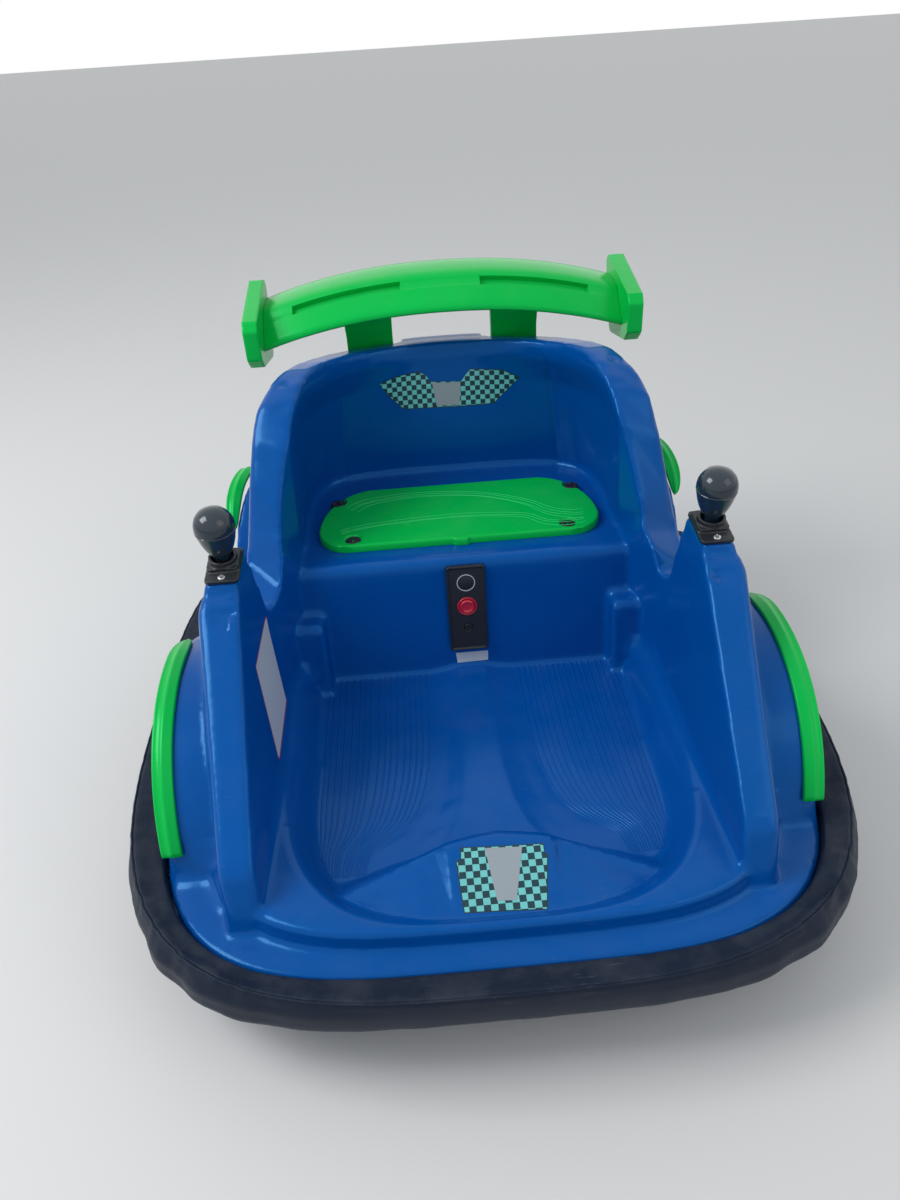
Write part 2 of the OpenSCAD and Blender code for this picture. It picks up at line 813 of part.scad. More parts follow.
// Wing's underside from the nose to the rear edge, and its top from there to the nose:
// distance behind the rear edge, drop below it, share of the slot's depth that a point is sunk by
wing_under = [[-79, 35, 0], [-66, 24.5, 0], [-54, 16, 0], [-36, 10.5, 0], [0, 8, 0]];
wing_over = [[0, 0, 0], [-14, -1, 0], [-28, -1.2, 0], [-44, 0.2, 0], [-53, 3, 0], [-55.5, 4.9, 0],
  [-56.2, 5.4, 1], [-64.3, 12.1, 1], [-65, 12.9, 0], [-68, 15.5, 0], [-76, 22.5, 0], [-82, 28, 0],
  [-83.5, 32, 0], [-82, 34.5, 0]];
wing_section = concat(wing_under, wing_over);

// Places across one half of the wing, close together at the slot's two sloping ends
slot_end = 1.5;
half_stations = concat(
  [0, slot_from / 2, slot_from],
  [for (i = [0:6]) slot_from + slot_end + (slot_to - slot_from - 2 * slot_end) * i / 6],
  [slot_to, slot_to + (wing_half_w - slot_to) * 0.4, slot_to + (wing_half_w - slot_to) * 0.75,
    wing_half_w - seat_gap]
);
wing_stations = concat([for (i = [len(half_stations) - 1:-1:1]) -half_stations[i]], half_stations);

// Depth of the wing's slots at a distance from the middle
function slot_at(x) = abs(x) > slot_from + slot_end / 2 && abs(x) < slot_to - slot_end / 2 ? slot_depth : 0;

function wing_points(x, profile) = [
  for (p = profile)
    let (sunk = p[2] * slot_at(x))
    [x, wing_rear_y + p[0] + 0.635 * sunk, crown(x) - p[1] - 0.773 * sunk]
];

module spoiler_wing() {
  color([0.0, 0.75, 0.25])
    loft([for (x = wing_stations) wing_points(x, wing_section)]);
}

module spoiler_end() {
  color([0.0, 0.75, 0.25])
    translate([wing_half_w + end_t / 2, 0, 0])
      difference() {
        side_plate(end_t)
          polygon([[208, 410], [215, 419], [308, 437], [320, 434], [324, 426], [316, 384], [294, 357],
            [288, 356], [222, 368], [209, 380]]);
        translate([end_t / 2, 0, 0])
          side_plate(6)
            polygon([[218, 408], [300, 424], [308, 420], [302, 388], [286, 368], [226, 378], [218, 386]]);
      }
}

// Space above the wing's underside, with the gap that the struts keep from it
module wing_space() {
  translate([0, 0, -seat_gap])
    loft([for (i = [-6:6])
      let (x = i * 22)
      concat(wing_points(x, wing_under),
        [[x, wing_rear_y + 30, crown(x) - 8], [x, wing_rear_y + 30, wing_top + 60],
          [x, wing_rear_y - 79, wing_top + 60]])]);
}

module spoiler_strut() {
  color([0.0, 0.75, 0.25])
  difference() {
    union() {
      translate([strut_x - strut_w / 2, strut_y + 1, strut_foot_z + seat_gap])
        cube([strut_w, strut_t, strut_knee - strut_foot_z]);
      hull() {
        translate([strut_x - strut_w / 2, strut_y + 1, strut_knee - 1]) cube([strut_w, strut_t, 1]);
        translate([strut_x - strut_w / 2 - 2, strut_y - 12, wing_top - 2])
          cube([strut_w + 6, strut_t + 2, 1]);
      }
    }
    wing_space();
  }
}

module gearbox() {
  color([0.13, 0.13, 0.14])
  difference() {
    union() {
      translate([drive_x - 43, drive_y - 40, 26]) cube([22, 80, 58]);
      translate([drive_x - 42, drive_y + 18, drive_z + 4])
        rotate([0, -90, 0]) cylinder(d = motor_d, h = motor_l);
    }
    translate([drive_x - 41, drive_y, drive_z])
      rotate([0, 90, 0]) cylinder(r = axle_r + run_fit, h = 30);
  }
}

module drive_axle() {
  color([0.6, 0.6, 0.62])
    translate([drive_x - 40, drive_y, drive_z])
      rotate([0, 90, 0]) cylinder(r = axle_r, h = 40 + drive_w / 2 - 2);
}

module drive_hub() {
  color([0.1, 0.1, 0.11])
    translate([drive_x, drive_y, drive_z])
      rotate([0, 90, 0])
        difference() {
          cylinder(d = drive_d * 0.72, h = drive_w - 6, center = true);
          cylinder(r = axle_r + run_fit, h = drive_w + 6, center = true);
          translate([0, 0, drive_w / 2 - 11])
            difference() {
              cylinder(d = drive_d * 0.6, h = 20);
              cylinder(d = 26, h = 20);
            }
        }
}

module drive_tyre() {
  color([0.07, 0.07, 0.07])
    translate([drive_x, drive_y, drive_z])
      rotate([0, 90, 0])
        rotate_extrude($fn = 72)
          polygon([
            [drive_d * 0.36 + 0.3, -drive_w / 2 + 3], [drive_d / 2 - 5, -drive_w / 2],
            [drive_d / 2, -drive_w / 2 + 5], [drive_d / 2, drive_w / 2 - 5],
            [drive_d / 2 - 5, drive_w / 2], [drive_d * 0.36 + 0.3, drive_w / 2 - 3]
          ]);
}

module caster_mount() {
  color([0.6, 0.6, 0.62])
  difference() {
    union() {
      translate([0, 0, caster_top - 3]) linear_extrude(height = 3) rounded_rect(46, 46, 5);
      translate([0, 0, caster_top - 6]) cylinder(d = 30, h = 3.01);
    }
    translate([0, 0, caster_top - 10]) cylinder(r = 4 + run_fit, h = 9);
  }
}

module caster_fork() {
  color([0.62, 0.62, 0.64]) {
    difference() {
      union() {
        translate([0, 0, caster_top - 9]) cylinder(r = 14, h = 2.7);
        translate([0, 0, caster_top - 7]) cylinder(r = 4, h = 5);
        for (s = [-1, 1])
          translate([s * (caster_w / 2 + 2.5), 0, 0])
            side_plate(2)
              polygon([[-12, caster_top - 6.5], [12, caster_top - 6.5],
                [caster_trail + 7, caster_z], [caster_trail + 5, caster_z - 5],
                [caster_trail - 5, caster_z - 5], [caster_trail - 7, caster_z]]);
      }
    }
    translate([0, caster_trail, caster_z])
      rotate([0, 90, 0]) cylinder(r = 3, h = caster_w + 8, center = true);
  }
}

module caster_wheel() {
  color([0.1, 0.1, 0.1])
    translate([0, caster_trail, caster_z])
      rotate([0, 90, 0])
        difference() {
          rotate_extrude($fn = 72)
            polygon([[1, -caster_w / 2], [caster_d / 2 - 2, -caster_w / 2], [caster_d / 2, -caster_w / 2 + 2],
              [caster_d / 2, caster_w / 2 - 2], [caster_d / 2 - 2, caster_w / 2], [1, caster_w / 2]]);
          cylinder(r = 3 + run_fit, h = caster_w + 2, center = true);
        }
}

module battery_block() {
  color([0.2, 0.2, 0.22])
    translate([-battery_l / 2, battery_y - battery_w / 2, body_bottom + seat_gap])
      cube([battery_l, battery_w, bench_z - body_bottom - 52]);
}

body_shell();
chassis_pan();
bumper_ring();
seat_plate();
seat_fixings();
control_panel();
power_button();
charge_socket();
mirror([1, 0, 0]) joystick_base();  // joystick_base_left
joystick_base();  // joystick_base_right
mirror([1, 0, 0]) joystick();  // joystick_left
joystick();  // joystick_right
mirror([1, 0, 0]) fender_front();  // fender_front_left
fender_front();  // fender_front_right
mirror([1, 0, 0]) fender_rear();  // fender_rear_left
fender_rear();  // fender_rear_right
spoiler_wing();
mirror([1, 0, 0]) spoiler_end();  // spoiler_end_left
spoiler_end();  // spoiler_end_right
mirror([1, 0, 0]) spoiler_strut();  // spoiler_strut_left
spoiler_strut();  // spoiler_strut_right
mirror([1, 0, 0]) gearbox();  // gearbox_left
gearbox();  // gearbox_right
mirror([1, 0, 0]) drive_axle();  // drive_axle_left
drive_axle();  // drive_axle_right
mirror([1, 0, 0]) drive_hub();  // drive_hub_left
drive_hub();  // drive_hub_right
mirror([1, 0, 0]) drive_tyre();  // drive_tyre_left
drive_tyre();  // drive_tyre_right
translate([0, -caster_y, 0]) caster_mount();  // caster_mount_front
translate([0, caster_y, 0]) caster_mount();  // caster_mount_rear
translate([0, -caster_y, 0]) caster_fork();  // caster_fork_front
translate([0, caster_y, 0]) caster_fork();  // caster_fork_rear
translate([0, -caster_y, 0]) caster_wheel();  // caster_wheel_front
translate([0, caster_y, 0]) caster_wheel();  // caster_wheel_rear
battery_block();
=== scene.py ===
"""Looks of a small child's ride-on bumper car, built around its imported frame.

Sizes are in millimetres, as in the part's source. Meshes are made in metres.
"""

import json
import logging
import math
from collections.abc import Sequence
from dataclasses import dataclass
from enum import Enum

import bmesh
import bpy
import numpy as np
from bpy.types import Material, Mesh, Node, NodeOutputs, NodeSocket, NodeTree, Object
from mathutils import Matrix, Vector
from mathutils.bvhtree import BVHTree

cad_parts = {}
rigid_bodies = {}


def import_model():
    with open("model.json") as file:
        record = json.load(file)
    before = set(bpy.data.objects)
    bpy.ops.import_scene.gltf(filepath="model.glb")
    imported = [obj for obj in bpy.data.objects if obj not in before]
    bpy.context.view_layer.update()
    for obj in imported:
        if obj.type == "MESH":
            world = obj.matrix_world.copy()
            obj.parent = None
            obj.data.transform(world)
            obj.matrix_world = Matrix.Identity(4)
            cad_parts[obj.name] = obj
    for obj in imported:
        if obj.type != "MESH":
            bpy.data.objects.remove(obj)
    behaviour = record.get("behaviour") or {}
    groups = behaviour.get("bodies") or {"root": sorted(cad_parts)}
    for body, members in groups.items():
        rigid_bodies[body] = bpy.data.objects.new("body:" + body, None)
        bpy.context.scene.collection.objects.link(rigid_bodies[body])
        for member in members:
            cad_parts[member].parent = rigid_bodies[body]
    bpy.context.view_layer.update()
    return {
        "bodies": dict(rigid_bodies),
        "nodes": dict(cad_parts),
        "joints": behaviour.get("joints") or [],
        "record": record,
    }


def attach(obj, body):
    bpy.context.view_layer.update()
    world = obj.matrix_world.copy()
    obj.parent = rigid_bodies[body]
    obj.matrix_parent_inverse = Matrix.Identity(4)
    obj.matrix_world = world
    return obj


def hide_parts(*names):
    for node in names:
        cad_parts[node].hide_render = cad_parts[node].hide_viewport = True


LOG = logging.getLogger("bumper_car")
MM = 0.001
CAR = "car"

# Wear, dust and gloss that every finish shares; the dust tint also paints upward faces lighter, as light from
# above would
DUST_AND_TOP_LIGHT_TINT = (0.35, 0.36, 0.38, 1.0)
WORN_ROUGHNESS = 0.35
COAT_ROUGHNESS = 0.06
SCATTER = (0.003, 0.008, 0.003)

# Points nearer than this become one, and faces thinner than this go, in metres
MERGE = 1e-6
THIN = 1e-7

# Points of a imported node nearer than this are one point
WELD = 1e-5

Colour = tuple[float, float, float]
Point = tuple[float, float, float]
Outline = Sequence[tuple[float, float]]
Faces = list[tuple[int, ...]]
Shape = tuple[np.ndarray, Faces]


def srgb(red: int, green: int, blue: int) -> Colour:
    """Turn a colour as a screen writes it into the linear one that shaders read.

    Args:
        red: Red, 0 to 255.
        green: Green, 0 to 255.
        blue: Blue, 0 to 255.

    Returns:
        The linear colour.
    """
    parts = []
    for value in (red, green, blue):
        share = value / 255
        parts.append(share / 12.92 if share <= 0.04045 else ((share + 0.055) / 1.055) ** 2.4)
    return (parts[0], parts[1], parts[2])


class Side(Enum):
    """The two sides of the car, seen from the front."""

    LEFT = -1
    RIGHT = 1

    @property
    def word(self) -> str:
        """The side's name as the CAD nodes write it."""
        return self.name.lower()


class NodeKit:
    """Short ways to add and join nodes in one tree."""

    def __init__(self, tree: NodeTree) -> None:
        """Keep the tree that the nodes go into."""
        self.tree = tree

    def add(self, kind: str, **values: object) -> Node:
        """Add a node, set its properties and inputs, and link the sockets given for inputs.

        Args:
            kind: Blender's name of the node type.
            values: Properties, or inputs written with _ for a space.

        Returns:
            The new node.
        """
        node = self.tree.nodes.new(kind)
        for name, value in values.items():
            if isinstance(value, NodeSocket):
                self.link(value, node.inputs[name.replace("_", " ")])
            elif hasattr(node, name):
                setattr(node, name, value)
            else:
                node.inputs[name.replace("_", " ")].default_value = value
        return node

    def link(self, source: NodeSocket, target: NodeSocket) -> None:
        """Join an output to an input."""
        self.tree.links.new(source, target)

    def sum_up(self, operation: str, *values: object) -> NodeSocket:
        """Join numbers with a Math node.

        Args:
            operation: The Math node's operation.
            values: Sockets or plain numbers.

        Returns:
            The node's output.
        """
        node = self.add("ShaderNodeMath", operation=operation)
        for socket, value in zip(node.inputs, values):
            if isinstance(value, NodeSocket):
                self.link(value, socket)
            else:
                socket.default_value = value
        return node.outputs[0]

    def spread(self, value: NodeSocket, low: float, high: float) -> NodeSocket:
        """Stretch the values between two limits over 0 to 1.

        Args:
            value: The values.
            low: The limit that becomes 0.
            high: The limit that becomes 1.

        Returns:
            The stretched values.
        """
        return self.add("ShaderNodeMapRange", From_Min=low, From_Max=high, Value=value).outputs["Result"]


class Effects:
    """Shader node groups that several finishes share, each built once."""

    def __init__(self) -> None:
        """Build the groups."""
        self.mottle = self.make_mottle()
        self.grain = self.make_grain()
        self.scratches = self.make_scratches()
        self.dust = self.make_dust()

    @staticmethod
    def start(
        name: str, inputs: dict[str, object], outputs: dict[str, str]
    ) -> tuple[NodeKit, NodeOutputs]:
        """Start a shader node group with its sockets.

        Args:
            name: The group's name.
            inputs: Names and plain values; a value of four numbers makes a colour socket.
            outputs: Names and socket types.

        Returns:
            A kit for the group, and the sockets of its input node.
        """
        tree = bpy.data.node_groups.new(name, "ShaderNodeTree")
        for label, value in inputs.items():
            kind = "NodeSocketColor" if isinstance(value, tuple) else "NodeSocketFloat"
            tree.interface.new_socket(label, in_out="INPUT", socket_type=kind).default_value = value
        for label, kind in outputs.items():
            tree.interface.new_socket(label, in_out="OUTPUT", socket_type=kind)
        return NodeKit(tree), tree.nodes.new("NodeGroupInput").outputs

    def make_mottle(self) -> NodeTree:
        """Slight cloudy change of a colour, as pigment has in a thick moulding.

        Returns:
            The node group.
        """
        kit, entry = self.start(
            "colour_mottle",
            {"Colour": (0.5, 0.5, 0.5, 1.0), "Amount": 0.06, "Scale": 7.0},
            {"Colour": "NodeSocketColor"},
        )
        place = kit.add("ShaderNodeTexCoord").outputs["Object"]
        cloud = kit.add("ShaderNodeTexNoise", Detail=3.0, Vector=place, Scale=entry["Scale"])
        swing = kit.sum_up("MULTIPLY_ADD", kit.spread(cloud.outputs["Fac"], 0.3, 0.7), 2.0, -1.0)
        value = kit.sum_up("MULTIPLY_ADD", swing, entry["Amount"], 1.0)
        shade = kit.add("ShaderNodeHueSaturation", Value=value, Color=entry["Colour"])
        kit.add("NodeGroupOutput", Colour=shade.outputs["Color"])
        return kit.tree

    def make_grain(self) -> NodeTree:
        """Fine unevenness of a moulded or woven skin.

        Returns:
            The node group.
        """
        kit, entry = self.start(
            "skin_grain", {"Scale": 300.0, "Strength": 0.1, "Wave": 0.05}, {"Normal": "NodeSocketVector"}
        )
        place = kit.add("ShaderNodeTexCoord").outputs["Object"]
        fine = kit.add("ShaderNodeTexNoise", Detail=4.0, Vector=place, Scale=entry["Scale"])
        wave = kit.add("ShaderNodeTexNoise", Scale=16.0, Detail=1.0, Vector=place)
        broad = kit.add("ShaderNodeBump", Distance=0.02, Height=wave.outputs["Fac"], Strength=entry["Wave"])
        bump = kit.add(
            "ShaderNodeBump", Distance=0.0008, Strength=entry["Strength"], Height=fine.outputs["Fac"],
            Normal=broad.outputs["Normal"],
        )
        kit.add("NodeGroupOutput", Normal=bump.outputs["Normal"])
        return kit.tree

    def make_scratches(self) -> NodeTree:
        """Mask of short fine scratches in patches, in two directions.

        Returns:
            The node group.
        """
        kit, entry = self.start(
            "fine_scratches", {"Amount": 0.3, "Scale": 55.0}, {"Mask": "NodeSocketFloat"}
        )
        place = kit.add("ShaderNodeTexCoord").outputs["Object"]
        masks = []
        for turn, shift in (((0.3, 0.5, 0.9), 0.0), ((1.1, -0.4, 2.2), 3.0)):
            stretch = kit.add(
                "ShaderNodeMapping", Vector=place, Rotation=turn, Location=3 * (shift,), Scale=(1.0, 9.0, 9.0)
            )
            lines = kit.add(
                "ShaderNodeTexNoise", Detail=2.0, Vector=stretch.outputs["Vector"], Scale=entry["Scale"]
            )
            masks.append(kit.spread(lines.outputs["Fac"], 0.68, 0.76))
        patch = kit.add("ShaderNodeTexNoise", Scale=9.0, Detail=1.0, Vector=place)
        both = kit.sum_up("MAXIMUM", *masks)
        held = kit.sum_up("MULTIPLY", both, kit.spread(patch.outputs["Fac"], 0.5, 0.62))
        kit.add("NodeGroupOutput", Mask=kit.sum_up("MULTIPLY", held, entry["Amount"]))
        return kit.tree

    def make_dust(self) -> NodeTree:
        """Mask of light dust on what faces up, which also paints those faces lighter, as light from above
        would.

        Returns:
            The node group.
        """
        kit, entry = self.start("light_dust", {"Amount": 0.1}, {"Mask": "NodeSocketFloat"})
        place = kit.add("ShaderNodeTexCoord")
        parts = kit.add("ShaderNodeSeparateXYZ", Vector=place.outputs["Normal"])
        cloud = kit.add(
            "ShaderNodeTexNoise", Scale=24.0, Detail=6.0, Roughness=0.65, Vector=place.outputs["Object"]
        )
        up = kit.spread(parts.outputs["Z"], 0.4, 1.0)
        held = kit.sum_up("MULTIPLY", up, kit.spread(cloud.outputs["Fac"], 0.42, 0.7))
        kit.add("NodeGroupOutput", Mask=kit.sum_up("MULTIPLY", held, entry["Amount"]))
        return kit.tree


@dataclass(frozen=True)
class Finish:
    """A finish: its colour and gloss, and how mottled, grained, scratched and dusty it is, the dust also
    painting its upward faces lighter as light from above would.
    """

    name: str
    colour: Colour
    roughness: float = 0.3
    mottle: float = 0.05
    mottle_scale: float = 7.0
    grain: float = 0.08
    grain_scale: float = 350.0
    wave: float = 0.03
    scratch: float = 0.25
    # Dust on what faces up, which also paints those faces lighter as light from above would
    dust: float = 0.08
    metallic: float = 0.0
    coat: float = 0.0
    glow: float = 0.0
    specular: float = 0.35
    sheen_tint: Colour = (1.0, 1.0, 1.0)

    def material(self, effects: Effects) -> Material:
        """Build the finish's material.

        Args:
            effects: The shared node groups.

        Returns:
            The new material.
        """
        material = bpy.data.materials.new(self.name)
        material.use_nodes = True
        kit = NodeKit(material.node_tree)
        shader = material.node_tree.nodes["Principled BSDF"]
        base = self.base_colour(kit, effects)
        marks = kit.add("ShaderNodeGroup", node_tree=effects.scratches, Amount=self.scratch).outputs["Mask"]
        # Dust on what faces up, paling it toward the dust tint: partly dust, partly painted top light
        dust = kit.add("ShaderNodeGroup", node_tree=effects.dust, Amount=self.dust).outputs["Mask"]
        for mask, tint in ((marks, self.pale()), (dust, DUST_AND_TOP_LIGHT_TINT)):
            mix = kit.add("ShaderNodeMix", data_type="RGBA")
            kit.link(mask, mix.inputs[0])
            kit.link(base, mix.inputs[6])
            mix.inputs[7].default_value = tint
            base = mix.outputs[2]
        kit.link(base, shader.inputs["Base Color"])
        worn = kit.sum_up("MULTIPLY", kit.sum_up("ADD", marks, dust), WORN_ROUGHNESS)
        kit.link(kit.sum_up("ADD", worn, self.roughness), shader.inputs["Roughness"])
        skin = kit.add(
            "ShaderNodeGroup", node_tree=effects.grain, Scale=self.grain_scale, Strength=self.grain,
            Wave=self.wave,
        )
        kit.link(skin.outputs["Normal"], shader.inputs["Normal"])
        plain = {
            "Metallic": self.metallic,
            "Specular IOR Level": self.specular,
            "Specular Tint": (*self.sheen_tint, 1.0),
            "Coat Weight": self.coat,
            "Coat Roughness": COAT_ROUGHNESS,
        }
        if self.glow > 0:
            plain |= {"Subsurface Weight": self.glow, "Subsurface Radius": SCATTER}
        for name, value in plain.items():
            shader.inputs[name].default_value = value
        return material

    def base_colour(self, kit: NodeKit, effects: Effects) -> NodeSocket:
        """Give the finish's colour before wear, dust and painted top light.

        Args:
            kit: The material's nodes.
            effects: The shared node groups.

        Returns:
            The colour's socket.
        """
        node = kit.add(
            "ShaderNodeGroup", node_tree=effects.mottle, Amount=self.mottle, Scale=self.mottle_scale,
            Colour=(*self.colour, 1.0),
        )
        return node.outputs["Colour"]

    def pale(self) -> tuple[float, float, float, float]:
        """The finish's colour where it is scratched."""
        return (*(min(1.0, 0.72 * c + 0.14) for c in self.colour), 1.0)


@dataclass(frozen=True)
class CheckerFinish(Finish):
    """A printed checker of two colours, in squares of the piece's own UV map."""

    second: Colour = (0.5, 0.5, 0.5)

    def base_colour(self, kit: NodeKit, effects: Effects) -> NodeSocket:
        """Give the checker's two colours.

        Args:
            kit: The material's nodes.
            effects: The shared node groups.

        Returns:
            The colour's socket.
        """
        squares = kit.add(
            "ShaderNodeTexChecker", Scale=1.0, Color1=(*self.colour, 1.0), Color2=(*self.second, 1.0),
            Vector=kit.add("ShaderNodeUVMap").outputs["UV"],
        )
        node = kit.add(
            "ShaderNodeGroup", node_tree=effects.mottle, Amount=self.mottle, Scale=60.0,
            Colour=squares.outputs["Color"],
        )
        return node.outputs["Colour"]


BLUE = Finish(
    "blue_plastic", srgb(0, 76, 156), roughness=0.2, coat=0.05, wave=0.03, scratch=0.1, dust=0.02,
    specular=0.45, sheen_tint=(0.12, 0.55, 1.0),
)
GREEN = Finish(
    "green_plastic", srgb(0, 184, 72), roughness=0.24, glow=0.1, scratch=0.12, dust=0.03, specular=0.45,
    sheen_tint=(0.2, 1.0, 0.5),
)
BLACK = Finish("black_plastic", srgb(30, 34, 40), roughness=0.38, grain=0.3, grain_scale=700.0, dust=0.03)
KNOB = Finish("knob_plastic", srgb(32, 46, 58), roughness=0.16, coat=0.3, scratch=0.15, dust=0.02)
# Dark base whose top the dust mask lightens: dust, and painted top light over a shaded side
VINYL = Finish(
    "black_vinyl", srgb(26, 33, 47), roughness=0.42, grain=0.5, grain_scale=900.0, scratch=0.3, dust=0.07,
    specular=0.2, sheen_tint=(0.45, 0.65, 1.0),
)
SEAT_LINE = Finish("green_line", srgb(54, 208, 120), roughness=0.26, scratch=0.1, dust=0.0)
THREAD = Finish("black_thread", srgb(30, 32, 38), roughness=0.8, grain=0.5, grain_scale=2500.0)
RED = Finish("red_plastic", srgb(190, 34, 56), roughness=0.22, coat=0.2)
STEEL = Finish("steel", srgb(176, 178, 182), roughness=0.3, metallic=0.9, grain=0.15, specular=0.5)
RUBBER = Finish("wheel_plastic", srgb(40, 41, 44), roughness=0.55, grain=0.4, grain_scale=600.0, dust=0.2)
LABEL = Finish("pale_label", srgb(188, 196, 202), roughness=0.5, scratch=0.3, dust=0.0)
RED_EDGE = Finish("red_print", srgb(165, 50, 74), roughness=0.5, dust=0.0)
DARK_PRINT = Finish("dark_print", srgb(24, 52, 62), roughness=0.35, dust=0.0)
GREY_PRINT = Finish("grey_print", srgb(150, 160, 168), roughness=0.4, dust=0.0)
CHECKER = CheckerFinish(
    "checker_print", srgb(14, 56, 66), second=srgb(110, 196, 196), roughness=0.35, dust=0.0
)
BY_SLOT = {f.name: f for f in (BLUE, GREEN, BLACK, KNOB, VINYL, RED, STEEL, RUBBER)}


def grid_faces(rows: int, columns: int, closed: bool = True) -> Faces:
    """Join a grid of points, kept row by row, with four-sided faces.

    Args:
        rows: Count of rows.
        columns: Count of points in a row.
        closed: Whether each row is a closed ring.

    Returns:
        The faces.
    """
    span = columns if closed else columns - 1
    return [
        (r * columns + c, r * columns + (c + 1) % columns, (r + 1) * columns + (c + 1) % columns,
         (r + 1) * columns + c)
        for r in range(rows - 1)
        for c in range(span)
    ]


def turned(profile: Outline, count: int = 48) -> Shape:
    """Turn a profile about the Z axis.

    Args:
        profile: Radius and height of each point.
        count: Points round each ring.

    Returns:
        The points and the faces.
    """
    angle = np.arange(count) * 2 * math.pi / count
    rings = [np.stack([r * np.cos(angle), r * np.sin(angle), np.full(count, z)], axis=1) for r, z in profile]
    return np.concatenate(rings), grid_faces(len(profile), count)


def smooth_line(points: Sequence[Sequence[float]], steps: int) -> np.ndarray:
    """Run a smooth line through points.

    Args:
        points: The points.
        steps: Steps between each two points.

    Returns:
        The points of the smooth line.
    """
    p = np.asarray(points, dtype=float)
    count = len(p)
    out = []
    for i in range(count - 1):
        a, b, c, d = p[max(i - 1, 0)], p[i], p[i + 1], p[min(i + 2, count - 1)]
        out += [
            0.5 * (2 * b + (c - a) * t + (2 * a - 5 * b + 4 * c - d) * t**2 + (3 * b - a - 3 * c + d) * t**3)
            for t in np.arange(steps) / steps
        ]
    return np.array([*out, p[-1]])


def along(line: np.ndarray, count: int) -> np.ndarray:
    """Space points evenly along a closed ring.

    Args:
        line: The ring's points.
        count: Count of points wanted.

    Returns:
        The evenly spaced points.
    """
    ring = np.vstack([line, line[:1]])
    reach = np.concatenate([[0], np.cumsum(np.linalg.norm(np.diff(ring, axis=0), axis=1))])
    wanted = np.linspace(0, reach[-1], count, endpoint=False)
    return np.stack([np.interp(wanted, reach, ring[:, k]) for k in range(ring.shape[1])], axis=1)


def quarter_round(share: np.ndarray | float) -> np.ndarray | float:
    """How far a quarter circle of radius 1 has fallen at a share of its way, 0 to 1."""
    return 1 - np.sqrt(np.maximum(0, 1 - np.square(share)))


def table_value(table: Outline, value: np.ndarray | float) -> np.ndarray | float:
    """Read a table of pairs between its rows."""
    columns = np.array(table, dtype=float)
    return np.interp(value, columns[:, 0], columns[:, 1])


def clean(mesh: Mesh, merge: float, thin: float = 0.0, outward: bool = True) -> None:
    """Merge a mesh's doubled points, drop its thin faces and turn the rest outward.

    Args:
        mesh: The mesh.
        merge: Points nearer than this become one, in metres.
        thin: Faces thinner than this go.
        outward: Whether the faces are turned outward.
    """
    work = bmesh.new()
    work.from_mesh(mesh)
    bmesh.ops.remove_doubles(work, verts=work.verts, dist=merge)
    if thin:
        bmesh.ops.dissolve_degenerate(work, edges=work.edges, dist=thin)
    if outward:
        bmesh.ops.recalc_face_normals(work, faces=work.faces)
    work.to_mesh(mesh)
    work.free()


def evaluated(holder: Object) -> Mesh:
    """Turn what an object's modifiers make into a plain mesh."""
    graph = bpy.context.evaluated_depsgraph_get()
    return bpy.data.meshes.new_from_object(holder.evaluated_get(graph))


def stood_in_scene(name: str, mesh: Mesh) -> Object:
    """Put a mesh into the scene as an object.

    Args:
        name: The object's name.
        mesh: The mesh.

    Returns:
        The object.
    """
    piece = bpy.data.objects.new(name, mesh)
    bpy.context.scene.collection.objects.link(piece)
    return piece


def swept(rings: Sequence[np.ndarray]) -> Shape:
    """Join outlines one after another and close both ends.

    Args:
        rings: The outlines, with the same count of points each.

    Returns:
        The points and the faces.
    """
    count, last = len(rings[0]), (len(rings) - 1) * len(rings[0])
    faces = grid_faces(len(rings), count)
    faces += [tuple(range(count - 1, -1, -1)), tuple(last + i for i in range(count))]
    return np.concatenate(rings), faces


def mesh_of(
    name: str,
    points: np.ndarray,
    faces: Sequence[tuple[int, ...]] = (),
    edges: Sequence[tuple[int, int]] = (),
) -> Mesh:
    """Make a mesh from points in millimetres.

    Args:
        name: The mesh's name.
        points: Its points.
        faces: Its faces.
        edges: Its edges, if it has no faces.

    Returns:
        The mesh.
    """
    mesh = bpy.data.meshes.new(name)
    mesh.from_pydata([tuple(p) for p in np.asarray(points) * MM], edges, faces)
    return mesh


@dataclass(frozen=True)
class Tag:
    """What a piece is: its name, finish, body, slot and the nodes that it stands for.

    The slot is not used.
    """

    name: str
    finish: Finish
    body: str = CAR
    slot: str = ""
    stands_for: tuple[str, ...] = ()


